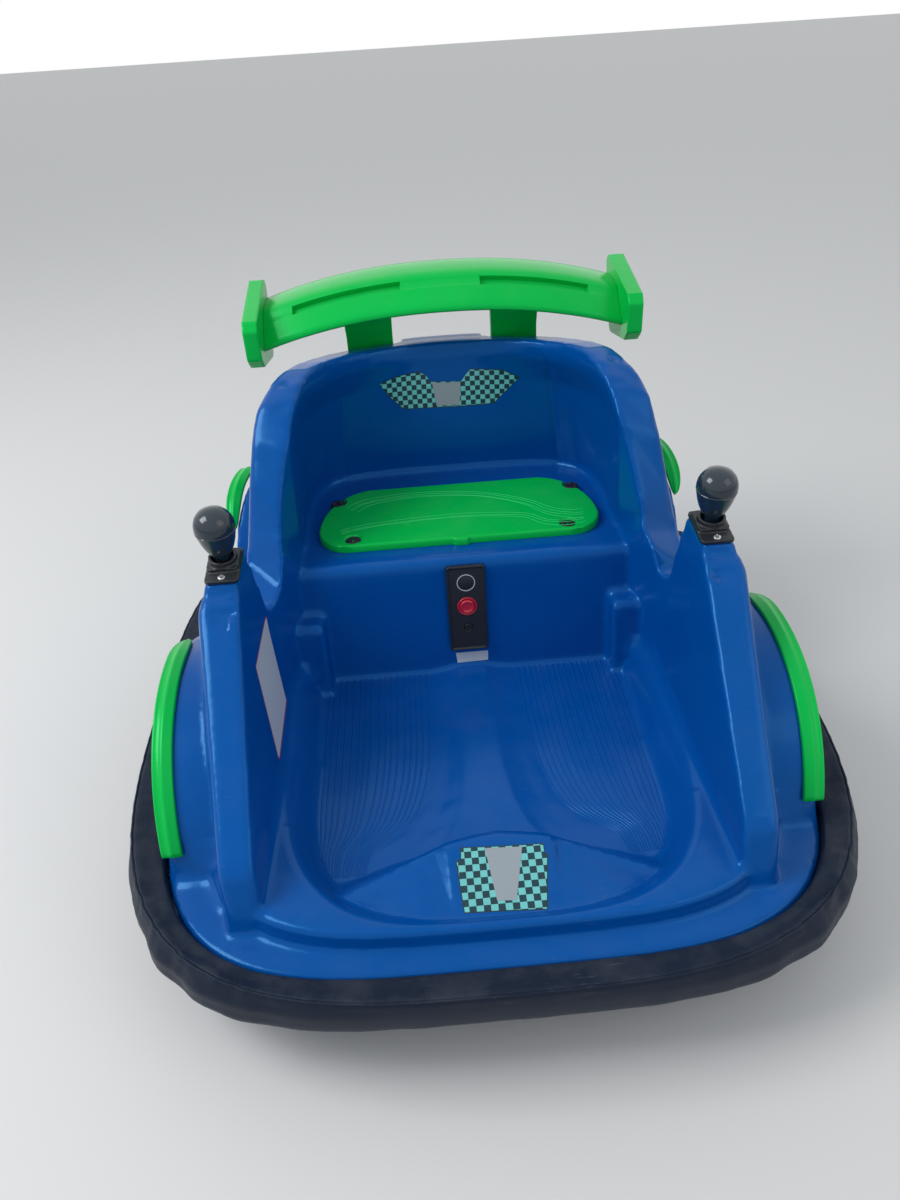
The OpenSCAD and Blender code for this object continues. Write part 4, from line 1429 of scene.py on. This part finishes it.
    def phases(
        self, chance: np.random.Generator, length: float, spread: float, sway: float, count: int
    ) -> np.ndarray:
        """Phases of a wave round the bumper, whose length wanders.

        Args:
            chance: Where the random numbers come from.
            length: The wave's length, in millimetres.
            spread: Spread of the steps that it wanders by.
            sway: How far it wanders.
            count: Count of points round the bumper.

        Returns:
            One row of phases, in radians.
        """
        phase = chance.uniform(0, 2 * math.pi)
        drift = np.cumsum(chance.normal(0, spread, count))
        drift -= np.linspace(0, drift[-1], count)
        turns = round(self.lap / length)
        return (np.arange(count) / count * 2 * math.pi * turns + phase + sway * drift)[None, :]

    def corner_share(self, ring: np.ndarray) -> np.ndarray:
        """How near each point of a ring is to a corner, 0 to 1."""
        share = np.minimum(np.abs(ring[:, 0]) / self.inner_half_w, np.abs(ring[:, 1]) / self.inner_half_l)
        return np.clip((share - self.corner_from) / (self.corner_to - self.corner_from), 0, 1)

    def build_stitches(self, shop: Workshop, seam: np.ndarray) -> None:
        """Sew a row of stitches just inside the piping.

        Args:
            shop: The workshop.
            seam: The seam's points.
        """
        length = np.linalg.norm(np.diff(np.vstack([seam, seam[:1]]), axis=0), axis=1).sum()
        line = along(seam, int(length / self.stitch_step))
        ahead = np.roll(line, -1, axis=0) - np.roll(line, 1, axis=0)
        inward = np.stack([-line[:, 0], -line[:, 1], np.zeros(len(line))], axis=1)
        inward /= np.linalg.norm(inward, axis=1, keepdims=True)
        spots = line + self.stitch_inward * inward + (0, 0, self.stitch_rise)
        places = [(spot, (0, 0, 1), way) for spot, way in zip(spots, ahead)]
        points, faces = turned(self.stitch, 6)
        lying = points[:, [2, 1, 0]]
        shop.repeat(Tag("bumper_stitches", THREAD, slot="black_vinyl"), (lying, faces), places)


@dataclass
class FenderStrips:
    """The four green strips over the wheel arches, each with a ridge along its middle."""

    width: float = 17.0
    rise: float = 6.0
    gap: float = 0.5
    steps: int = 96
    skin_half_w: float = 257.0
    skin_half_l: float = 322.0
    skin_power: float = 5.0
    tip_from: float = 0.84
    tip_narrowing: float = 0.95
    tip_inward: float = 0.3
    foot_to: float = 0.012
    foot_start: float = 0.72
    edge_rise: float = 2.0

    # End; arch: middle y and z, reach to the front and back, height; angle and offset at foot and tip
    arches: tuple[tuple[str, tuple[float, ...], float, float, float, float], ...] = (
        ("front", (-76, 42, 159, 159, 159), 152, 70, 8, 7),
        ("rear", (250, 100, 106, 40, 134), 8, 133, -8, -8),
    )
    outline: Outline = (
        (1.0, 0.0), (0.0, 0.0), (0.0, 0.45), (0.03, 0.58), (0.1, 0.64), (0.36, 0.9), (0.42, 0.98),
        (0.48, 1.0), (0.54, 0.95), (0.6, 0.8), (0.84, 0.64), (0.89, 0.7), (0.95, 0.7), (0.99, 0.62),
        (1.0, 0.5),
    )

    def build(self, shop: Workshop) -> None:
        """Build the strips at both ends and on both sides.

        Args:
            shop: The workshop.
        """
        for end, arch, foot, tip, foot_offset, tip_offset in self.arches:
            points, faces = self.strip(arch, foot, tip, foot_offset, tip_offset)
            for side in Side:
                placed = points * (side.value, 1, 1)
                name = f"fender_{end}_{side.word}"
                shop.piece(Tag(f"{name}_strip", GREEN, stands_for=(name,)), placed, faces, sharp=50.0)

    def strip(
        self, arch: tuple[float, ...], foot: float, tip: float, foot_offset: float, tip_offset: float
    ) -> Shape:
        """Sweep the strip's outline over its arch.

        Args:
            arch: Middle y and z, reach to the front and back, height.
            foot: Angle of the foot, in degrees.
            tip: Angle of the tip.
            foot_offset: Offset of the inner edge from the skin at the foot.
            tip_offset: The same at the tip.

        Returns:
            Points and faces.
        """
        rings = []
        for i in range(self.steps + 1):
            s = i / self.steps
            t = math.radians(foot + (tip - foot) * s)
            past = max(0.0, (s - self.tip_from) / (1 - self.tip_from))
            full = 1 - min(self.tip_narrowing, quarter_round(past))
            start = min(1.0, self.foot_start + (1 - self.foot_start) * math.sqrt(min(1.0, s / self.foot_to)))
            width, rise = self.width * full, (self.edge_rise + (self.rise - self.edge_rise) * full) * start
            reach = arch[2] if math.cos(t) < 0 else arch[3]
            share = min(1.0, abs(arch[0] + reach * math.cos(t)) / self.skin_half_l)
            skin = self.skin_half_w * (1 - share**self.skin_power) ** (1 / self.skin_power)
            offset = foot_offset + (tip_offset - foot_offset) * s
            inner = skin + offset + self.width * (1 - full) * self.tip_inward
            u, v = np.array(self.outline).T
            grow = self.gap + (rise - self.gap) * v
            y = arch[0] + (reach + grow) * math.cos(t)
            z = arch[1] + (arch[4] + grow) * math.sin(t)
            rings.append(np.column_stack([inner + u * width, y, z]))
        return swept(rings)


@dataclass
class SeatPlate:
    """The green seat plate with its fine moulded contour lines, and its four fixings."""

    bottom: float = 210.3
    thickness: float = 8.0
    half_w: float = 151.0
    front: float = 87.0
    depth: float = 124.0
    edge_r: float = 2.2
    corner_w: float = 34.0
    corner_d: float = 36.0
    taper_w: float = 60.0
    tab_half_w: float = 9.0
    tab_depth: float = 3.0
    columns: int = 320
    rows: int = 120
    rear_line: Outline = (
        (-118, 166), (-100, 181), (-55, 190), (-2, 187), (40, 176), (79, 153), (100, 131), (122, 121),
        (134, 120),
    )
    front_line: Outline = (
        (-128, 118), (-100, 127), (-40, 134), (17, 135), (71, 126), (92, 110), (112, 104), (132, 108),
    )
    rear_shifts: tuple[float, ...] = (-9.0, -4.0, 0.0, 5.5)
    front_shifts: tuple[float, ...] = (-6.5, -2.2, 2.2)
    front_fixings: Outline = ((-114, 101), (114, 101))
    rear_fixings: Outline = ((-133, 186), (133, 186))

    # Reach and depth of the recess round a fixing
    front_dip: tuple[float, float] = (9.0, 2.2)
    rear_dip: tuple[float, float] = (9.6, 6.6)
    dip_beyond: float = 0.5
    dip_wall: float = 0.8
    head_below: float = 3.4
    line_r: float = 0.34
    line_sunk: float = 0.12

    def half_width(self, y: np.ndarray) -> np.ndarray:
        """Half the plate's width at a place along the car.

        Args:
            y: Place along the car.

        Returns:
            The half widths.
        """
        middle, far_d = self.front + self.corner_d, self.depth - self.corner_d
        near = self.corner_w * quarter_round(np.clip(middle - y, 0, self.corner_d) / self.corner_d)
        far = self.taper_w * quarter_round(np.clip(y - middle, 0, far_d) / far_d)
        return self.half_w - near - far

    def build(self, shop: Workshop) -> None:
        """Build the plate and its fixings.

        Args:
            shop: The workshop.
        """
        u = np.linspace(-1, 1, self.columns)
        v = 0.5 - 0.5 * np.cos(np.linspace(0, math.pi, self.rows))
        v = 0.25 * v + 0.75 * np.linspace(0, 1, self.rows)
        y = self.front + v * self.depth
        half = self.half_width(y)
        grid_x = u[None, :] * half[:, None]
        near_tab = np.clip((self.tab_half_w - np.abs(grid_x)) / self.tab_depth, 0, 1)
        tab = self.tab_depth * near_tab * (1 - v[:, None]) ** 6
        grid_y = np.broadcast_to(y[:, None], grid_x.shape) - tab
        edge = self.edge_distance(grid_x, grid_y, v)
        fall = self.edge_r * quarter_round(np.clip(1 - edge / self.edge_r, 0, 1))
        top = self.bottom + self.thickness - fall
        dips = ((self.front_fixings, *self.front_dip), (self.rear_fixings, *self.rear_dip))
        for spots, reach, depth in dips:
            for x0, y0 in spots:
                inside = reach + self.dip_beyond - np.hypot(grid_x - x0, grid_y - y0)
                top -= depth * np.clip(inside / self.dip_wall, 0, 1)
        upper = np.stack([grid_x, grid_y, top], axis=2).reshape(-1, 3)
        border = self.border(self.rows, self.columns)
        lower = upper[border]
        lower[:, 2] = self.bottom
        under = [len(upper) + i for i in range(len(border))]
        faces = grid_faces(self.rows, self.columns, closed=False)
        faces += zip(border, border[1:] + border[:1], under[1:] + under[:1], under)
        faces.append(tuple(under))
        points = np.concatenate([upper, lower])
        shop.piece(Tag("seat_plate_relief", GREEN, stands_for=("seat_plate",)), points, faces, sharp=45.0)
        self.build_lines(shop)
        self.build_fixings(shop)

    @staticmethod
    def border(rows: int, columns: int) -> list[int]:
        """The grid's outer points in order.

        Args:
            rows: Count of the grid's rows.
            columns: Count of its columns.

        Returns:
            The points' numbers.
        """
        last = rows - 1
        return (
            list(range(columns))
            + [r * columns + columns - 1 for r in range(1, rows)]
            + [last * columns + c for c in range(columns - 2, -1, -1)]
            + [r * columns for r in range(last - 1, 0, -1)]
        )

    def edge_distance(self, x: np.ndarray, y: np.ndarray, v: np.ndarray) -> np.ndarray:
        """Distance of each point from the plate's outline.

        Args:
            x: Places across.
            y: Places along.
            v: Share of the way back of each row.

        Returns:
            The distances.
        """
        line_y = self.front + np.linspace(0, 1, 400) * self.depth
        line_x = self.half_width(line_y)
        side = np.full(x.shape, np.inf)
        for px, py in zip(line_x, line_y):
            side = np.minimum(side, (np.abs(x) - px) ** 2 + (y - py) ** 2)
        return np.minimum(np.sqrt(side), (np.minimum(v, 1 - v) * self.depth)[:, None])

    def build_lines(self, shop: Workshop) -> None:
        """Run the fine raised lines over the plate.

        Args:
            shop: The workshop.
        """
        level = self.bottom + self.thickness - self.line_sunk
        lines = []
        for points, shifts in ((self.rear_line, self.rear_shifts), (self.front_line, self.front_shifts)):
            line = smooth_line(points, 14)
            ahead = np.gradient(line, axis=0)
            aside = np.stack([-ahead[:, 1], ahead[:, 0]], axis=1)
            aside /= np.linalg.norm(aside, axis=1, keepdims=True)
            reach = np.linspace(0, 1, len(line))[:, None]
            for shift in shifts:
                spread = 1 + 0.35 * np.sin(5.0 * reach + 0.4 * shift)
                moved = line + aside * shift * spread
                lines.append(np.column_stack([moved, np.full(len(moved), level)]))
        shop.sweep(Tag("seat_lines", SEAT_LINE, slot="green_plastic"), lines, self.line_r, sides=6)

    def build_fixings(self, shop: Workshop) -> None:
        """Set the four black fixings with their cross recesses.

        Args:
            shop: The workshop.
        """
        up, ahead = (0, 0, 1), (1, 0.4, 0)
        level = self.bottom + self.thickness - self.head_below
        places = [((x, y, level), up, ahead) for x, y in (*self.front_fixings, *self.rear_fixings)]
        tag = Tag("seat_fixing_heads", BLACK, stands_for=("seat_fixings",))
        shop.repeat(tag, screw_head(8.2, 3.0, 2.4, skirt=4.4), places, spin=1.4)


def screw_head(
    radius: float, height: float, recess: float, count: int = 40, skirt: float = 0.0
) -> Shape:
    """Give a domed screw head with a cross recess, standing on Z = 0.

    Args:
        radius: Its radius.
        height: Its height in the middle.
        recess: Depth of the cross.
        count: Points round it.
        skirt: How far it reaches down below Z = 0.

    Returns:
        Points and faces.
    """
    shares = (1.0, 1.0, 1.0, 0.985, 0.94, 0.86, 0.76, 0.66, 0.56, 0.46, 0.38, 0.3, 0.22, 0.12, 0.0)
    heights = (-skirt / height, 0.0, 0.45, 0.58, 0.7, 0.8, 0.87, 0.92, 0.95, 0.97, 0.98, 0.99, 1.0, 1.0, 1.0)
    points, faces = turned([(radius * s, height * h) for s, h in zip(shares, heights)], count)
    x, y = points[:, 0] / radius, points[:, 1] / radius
    arm_half, arm_reach, crown_from = 0.13, 0.56, 0.8
    cut = np.minimum(np.abs(x), np.abs(y)) < arm_half
    cut &= np.maximum(np.abs(x), np.abs(y)) < arm_reach
    cut &= points[:, 2] > height * crown_from
    points[cut, 2] -= recess * (1 - 0.9 * np.hypot(x, y)[cut])
    bottom = tuple(range(count - 1, -1, -1))
    return points, [*faces, bottom]


@dataclass
class Spoiler:
    """The green spoiler: a crowned wing with two crisp slots, two end plates and two struts."""

    top: float = 443.0
    drop: float = 28.0
    crown_power: float = 2.2
    half_w: float = 193.0
    rear_y: float = 318.0
    slot_from: float = 43.0
    slot_to: float = 160.0
    slot_depth: float = 5.5
    sink: tuple[float, float] = (0.635, -0.773)

    # Place from the rear top edge, depth below the crown, and 1 where a slot sinks it
    outline: tuple[Point, ...] = (
        (-79.0, 35.0, 0), (-72.0, 29.3, 0), (-66.0, 24.5, 0), (-60.0, 19.9, 0), (-54.0, 16.0, 0),
        (-45.0, 12.7, 0), (-36.0, 10.5, 0), (-18.0, 9.0, 0), (-1.6, 8.1, 0), (-0.5, 7.6, 0), (0.0, 6.6, 0),
        (0.0, 1.6, 0), (-0.5, 0.5, 0), (-1.6, 0.0, 0), (-14.0, -1.0, 0), (-28.0, -1.2, 0), (-44.0, 0.2, 0),
        (-49.5, 1.5, 0), (-52.2, 2.7, 0), (-53.9, 3.8, 0), (-55.6, 5.2, 0), (-56.1, 5.65, 0),
        (-56.5, 6.3, 1), (-57.2, 7.1, 1), (-63.3, 12.1, 1), (-64.0, 12.4, 1), (-64.5, 12.4, 0),
        (-65.1, 12.9, 0), (-70.0, 17.2, 0), (-76.0, 22.5, 0), (-80.4, 26.4, 0), (-82.4, 28.7, 0),
        (-83.4, 31.0, 0), (-83.2, 33.4, 0), (-81.8, 34.9, 0), (-80.4, 35.4, 0),
    )

    def stations(self) -> np.ndarray:
        """Places across the wing, close together at the slots' ends.

        Returns:
            The places.
        """
        half = [0.0, 14.0, 28.0, self.slot_from - 0.4, self.slot_from + 0.4, self.slot_from + 1.4]
        half += list(np.linspace(self.slot_from + 8, self.slot_to - 8, 16))
        half += [self.slot_to - 1.4, self.slot_to - 0.4, self.slot_to + 0.4, 170.0, 180.0, self.half_w - 0.3]
        return np.array([-x for x in half[:0:-1]] + half)

    def build(self, shop: Workshop) -> None:
        """Build the wing, and round the end plates and the struts.

        Args:
            shop: The workshop.
        """
        rows = np.array(self.outline)
        rings = []
        for x in self.stations():
            inside = self.slot_from < abs(x) < self.slot_to
            near = min(abs(x) - self.slot_from, self.slot_to - abs(x))
            sunk = rows[:, 2] * self.slot_depth * (0 if not inside else 0.8 if near < 1 else 1)
            crown = self.top - self.drop * (abs(x) / self.half_w) ** self.crown_power
            rings.append(np.column_stack([
                np.full(len(rows), x),
                self.rear_y + rows[:, 0] + self.sink[0] * sunk,
                crown - rows[:, 1] + self.sink[1] * sunk,
            ]))
        shop.piece(Tag("spoiler_wing_blade", GREEN, stands_for=("spoiler_wing",)), *swept(rings), sharp=38.0)
        for side in Side:
            shop.round_off(f"spoiler_end_{side.word}", 1.1, 5, 40000)
            shop.round_off(f"spoiler_strut_{side.word}", 1.2, 4, 30000)


def on_panel(up: float) -> Matrix:
    """Frame of a place on the tilted control panel.

    Args:
        up: Place up the panel from its middle.

    Returns:
        The frame, in metres, with Z out of the panel and Y up it.
    """
    tilt, bench_front, bench_z, middle = 8.0, 57.0, 210.0, 155.0
    wall = bench_front - (bench_z - middle) * math.tan(math.radians(tilt))
    frame = Matrix.Translation((0, wall * MM, middle * MM))
    frame = frame @ Matrix.Rotation(math.radians(90 - tilt), 4, "X")
    return frame @ Matrix.Translation((0, up * MM, 0))


@dataclass
class ControlPanel:
    """The black panel with its red button, bare disc and charging socket."""

    button_up: float = 3.0
    socket_up: float = -22.0
    disc_up: float = 30.0
    face: float = 3.3

    def profiles(self) -> list[tuple[Tag, float, int, Outline]]:
        """List the turned pieces: what each is, its place up the panel, its points round and its profile.

        Returns:
            One row for each piece.
        """
        face = self.face
        ring = (
            (9.5, face - 0.3), (9.5, face + 0.25), (9.2, face + 0.4), (8.8, face + 0.4), (8.6, face + 0.1),
            (8.6, face - 0.3), (9.5, face - 0.3),
        )
        disc = ((0, face - 0.3), (8.3, face - 0.3), (8.3, face + 0.1), (8.0, face + 0.2), (0, face + 0.25))
        collar = (
            (8.2, face - 0.5), (10.4, face - 0.5), (10.4, face + 0.8), (10.0, face + 1.3), (9.0, face + 1.4),
            (8.3, face + 1.0), (8.2, face - 0.5),
        )
        button = (
            (0, -0.5), (7.7, -0.5), (7.7, face + 1.4), (7.2, face + 2.6), (6.4, face + 3.1),
            (5.6, face + 3.0), (5.0, face + 2.5), (3.4, face + 2.2), (0, face + 2.1),
        )
        socket = (
            (0, 2.4), (4.2, 2.4), (4.2, face + 0.6), (3.9, face + 0.9), (3.2, face + 0.9), (2.9, face + 0.5),
            (2.8, 2.9), (0.9, 2.9), (0.9, face - 0.2), (0.6, face + 0.1), (0, face + 0.1),
        )
        cap = Tag("power_button_cap", RED, stands_for=("power_button",))
        rim = Tag("charge_socket_rim", BLACK, stands_for=("charge_socket",))
        return [
            (Tag("panel_ring", LABEL, slot="black_plastic"), self.disc_up, 64, ring),
            (Tag("panel_disc", BLACK), self.disc_up, 64, disc),
            (Tag("button_collar", RED), self.button_up, 64, collar),
            (cap, self.button_up, 64, smooth_line(button, 2)),
            (rim, self.socket_up, 40, socket),
        ]

    def build(self, shop: Workshop) -> None:
        """Build the panel's plate, disc, button and socket.

        Args:
            shop: The workshop.
        """
        shop.round_off("control_panel", 0.6, 3, 60000)
        for tag, up, count, profile in self.profiles():
            shop.piece(tag, *turned(profile, count), place=on_panel(up))


@dataclass
class Joysticks:
    """The two sticks: pear-shaped knobs with a seam round them, on black bases with a screw."""

    pad_x: float = 216.5
    pad_y: float = -39.5
    pad_z: float = 281.0
    tilt: float = math.degrees(math.atan2(6, 49))
    pivot_along: float = 2.0
    pivot_rise: float = 7.5

    # Radius and height above the pivot
    knob: Outline = (
        (0, -5.6), (3.6, -4.6), (5.6, -1.5), (6.0, 1.0), (6.8, 4.5), (7.6, 7.0), (9.3, 9.3), (11.0, 11.8),
        (13.3, 17.0), (15.3, 23.0), (16.7, 29.0), (17.4, 32.4), (17.8, 34.0), (17.25, 34.5), (17.25, 35.0),
        (17.8, 35.5), (17.85, 37.0), (17.2, 41.5), (15.2, 46.2), (12.0, 50.0), (7.6, 52.4), (3.4, 53.4),
        (0, 53.6),
    )
    screw_place: tuple[float, float] = (-18.5, 3.6)

    def on_pad(self, side: Side, y: float, z: float) -> Matrix:
        """Frame of a place on a console's pad.

        Args:
            side: The side.
            y: Place along.
            z: Height above the pad.

        Returns:
            The frame, in metres.
        """
        frame = Matrix.Translation((side.value * self.pad_x * MM, self.pad_y * MM, self.pad_z * MM))
        frame = frame @ Matrix.Rotation(math.radians(self.tilt), 4, "X")
        return frame @ Matrix.Translation((0, y * MM, z * MM))

    def build(self, shop: Workshop) -> None:
        """Build both sticks and their bases.

        Args:
            shop: The workshop.
        """
        for side in Side:
            node = f"joystick_{side.word}"
            tag = Tag(f"{node}_knob", KNOB, f"stick_{side.word}", stands_for=(node,))
            place = self.on_pad(side, self.pivot_along, self.pivot_rise)
            shop.piece(tag, *turned(self.knob, 72), sharp=35.0, place=place)
            shop.round_off(f"joystick_base_{side.word}", 0.8, 3, 40000)
            tag, place = Tag(f"joystick_screw_{side.word}", STEEL), self.on_pad(side, *self.screw_place)
            shop.piece(tag, *screw_head(3.4, 2.0, 1.2, 32), sharp=30.0, place=place)


@dataclass
class RunningGear:
    """Driven wheels and casters, with tread, spokes, bolts and rolled edges."""

    drive_x: float = 218.0
    drive_y: float = 60.0
    drive_z: float = 52.0
    drive_w: float = 30.0
    caster_y: float = 245.0
    trail: float = 16.0
    caster_z: float = 19.0
    tyre_r: float = 52.0
    lugs: int = 40
    lug_aside: float = 7.6
    lug_sunk: float = 1.75

    # Half width, half length, squareness, height and count of the pan's screws
    pan_screws: tuple[float, float, float, float, int] = (256, 298, 4, 54.2, 14)

    # Place of a gearbox's screws from the wheel's middle: inward and along, and their height
    gearbox_screws: Point = (32, 34, 26.2)

    bolts: int = 6
    bolt_ring_r: float = 22.0
    roller: Outline = (
        (3.05, 10), (6, 10), (6.5, 9.2), (14, 9.2), (14.6, 10), (17, 10), (18.4, 9.2), (19, 7.6), (19, 3.6),
        (18.2, 3.2), (18.2, 2.6), (19, 2.2),
    )

    def build(self, shop: Workshop) -> None:
        """Build both driven wheels, both gearboxes and both casters.

        Args:
            shop: The workshop.
        """
        for side in Side:
            self.build_tyre(shop, side)
            self.build_bolts(shop, side)
            shop.round_off(f"drive_hub_{side.word}", 1.0, 3, 30000)
            shop.round_off(f"gearbox_{side.word}", 1.3, 3, 20000)
        for end in ("front", "rear"):
            shop.round_off(f"caster_fork_{end}", 0.7, 2, 40000)
            shop.round_off(f"caster_mount_{end}", 0.8, 2, 20000)
            self.build_roller(shop, end)
        self.build_pan_screws(shop)

    def build_pan_screws(self, shop: Workshop) -> None:
        """Set the screws that hold the pan and the gearboxes, seen from below.

        Args:
            shop: The workshop.
        """
        down, ahead = (0, 0, -1), (1, 0.3, 0)
        places = [(tuple(p), down, ahead) for p in ring_line(*self.pan_screws)]
        shop.repeat(Tag("pan_screws", STEEL), screw_head(4.2, 2.4, 1.4, 24, 1.0), places, spin=1.5)
        x, y, z = self.gearbox_screws
        spots = [
            ((s * (self.drive_x - x), self.drive_y + e * y, z), down, ahead) for s in (-1, 1) for e in (-1, 1)
        ]
        shop.repeat(Tag("gearbox_screws", STEEL), screw_head(3.2, 2.0, 1.2, 24, 1.0), spots, spin=1.5)

    def lying(self, place: Point) -> Matrix:
        """Frame of a wheel: its axis, drawn along Z, lies along X."""
        return Matrix.Translation(Vector(place) * MM) @ Matrix.Rotation(math.radians(90), 4, "Y")

    def build_tyre(self, shop: Workshop, side: Side) -> None:
        """Build a driven tyre with lugs round it.

        Args:
            shop: The workshop.
            side: The side.
        """
        w = self.drive_w / 2
        half = [
            (37.8, w - 3), (40, w - 2.2), (43, w - 0.8), (47, w), (49, w - 0.8), (50.2, w - 3), (50.4, w - 6),
            (50.4, 3), (49.2, 1.6), (49.2, 0),
        ]
        profile = [*half, *((a, -b) for a, b in half[-2::-1]), half[0]]
        place = (side.value * self.drive_x, self.drive_y, self.drive_z)
        body, node = f"drive_{side.word}", f"drive_tyre_{side.word}"
        tag = Tag(f"{node}_tread", RUBBER, body, stands_for=(node,))
        shop.piece(tag, *turned(profile, 96), sharp=30.0, place=self.lying(place))
        reach = self.tyre_r - self.lug_sunk
        places = []
        for i in range(self.lugs):
            for shift, offset in ((self.lug_aside, 0.0), (-self.lug_aside, math.pi / self.lugs)):
                t = 2 * math.pi * i / self.lugs + offset
                out = (0, math.cos(t), math.sin(t))
                spot = (place[0] + shift, place[1] + reach * out[1], place[2] + reach * out[2])
                places.append((spot, out, (1, 0, 0)))
        shop.repeat(Tag(f"tyre_lugs_{side.word}", RUBBER, body), bevelled_block(8.5, 3.6, 1.7, 0.6), places)

    def build_bolts(self, shop: Workshop, side: Side) -> None:
        """Set a ring of bolts in a hub.

        Args:
            shop: The workshop.
            side: The side.
        """
        face, r = side.value * (self.drive_x + 4.4), self.bolt_ring_r
        places = []
        for i in range(self.bolts):
            y, z = math.cos(2 * math.pi * i / self.bolts), math.sin(2 * math.pi * i / self.bolts)
            places.append(((face, self.drive_y + r * y, self.drive_z + r * z), (side.value, 0, 0), (0, y, z)))
        tag = Tag(f"hub_bolts_{side.word}", STEEL, f"drive_{side.word}")
        shop.repeat(tag, screw_head(2.6, 1.8, 1.0, 24), places, spin=1.5)

    def build_roller(self, shop: Workshop, end: str) -> None:
        """Build a caster's wheel with two grooves round it.

        Args:
            shop: The workshop.
            end: The end, front or rear.
        """
        sign = -1 if end == "front" else 1
        profile = [*self.roller, *((a, -b) for a, b in self.roller[::-1]), self.roller[0]]
        place = (0, sign * self.caster_y + self.trail, self.caster_z)
        node = f"caster_wheel_{end}"
        tag = Tag(f"{node}_roller", RUBBER, f"roller_{end}", stands_for=(node,))
        shop.piece(tag, *turned(profile, 64), sharp=30.0, place=self.lying(place))


def bevelled_block(length: float, width: float, height: float, bevel: float) -> Shape:
    """Give a block with drawn-in upper edges, centred on the origin.

    Args:
        length: Size along X.
        width: Size along Y.
        height: Size along Z.
        bevel: How far its top is drawn in.

    Returns:
        Points and faces.
    """
    rings = []
    for z, inset in ((-height / 2, 0), (height / 2 - bevel, 0), (height / 2, bevel)):
        a, b = length / 2 - inset, width / 2 - inset
        rings += [(-a, -b, z), (a, -b, z), (a, b, z), (-a, b, z)]
    return np.array(rings, dtype=float), [*grid_faces(3, 4), (3, 2, 1, 0), (8, 9, 10, 11)]


def dress_nodes(shop: Workshop) -> None:
    """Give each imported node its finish.

    Args:
        shop: The workshop.
    """
    for node, slot in shop.slot_of.items():
        mesh = shop.nodes[node].data
        mesh.materials.clear()
        mesh.materials.append(shop.material(BY_SLOT[slot]))


def main() -> None:
    """Build the scene."""
    logging.basicConfig(level=logging.INFO, format="%(message)s")
    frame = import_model()
    PhotoCamera().build()
    Studio().build()
    shop = Workshop(frame)
    dress_nodes(shop)
    tub = surface_of(Tub().build(shop))
    Prints().build(shop, tub)
    FloorRidges().build(shop, tub)
    BumperCover().build(shop)
    FenderStrips().build(shop)
    SeatPlate().build(shop)
    Spoiler().build(shop)
    ControlPanel().build(shop)
    Joysticks().build(shop)
    RunningGear().build(shop)


if __name__ == "__main__":
    main()
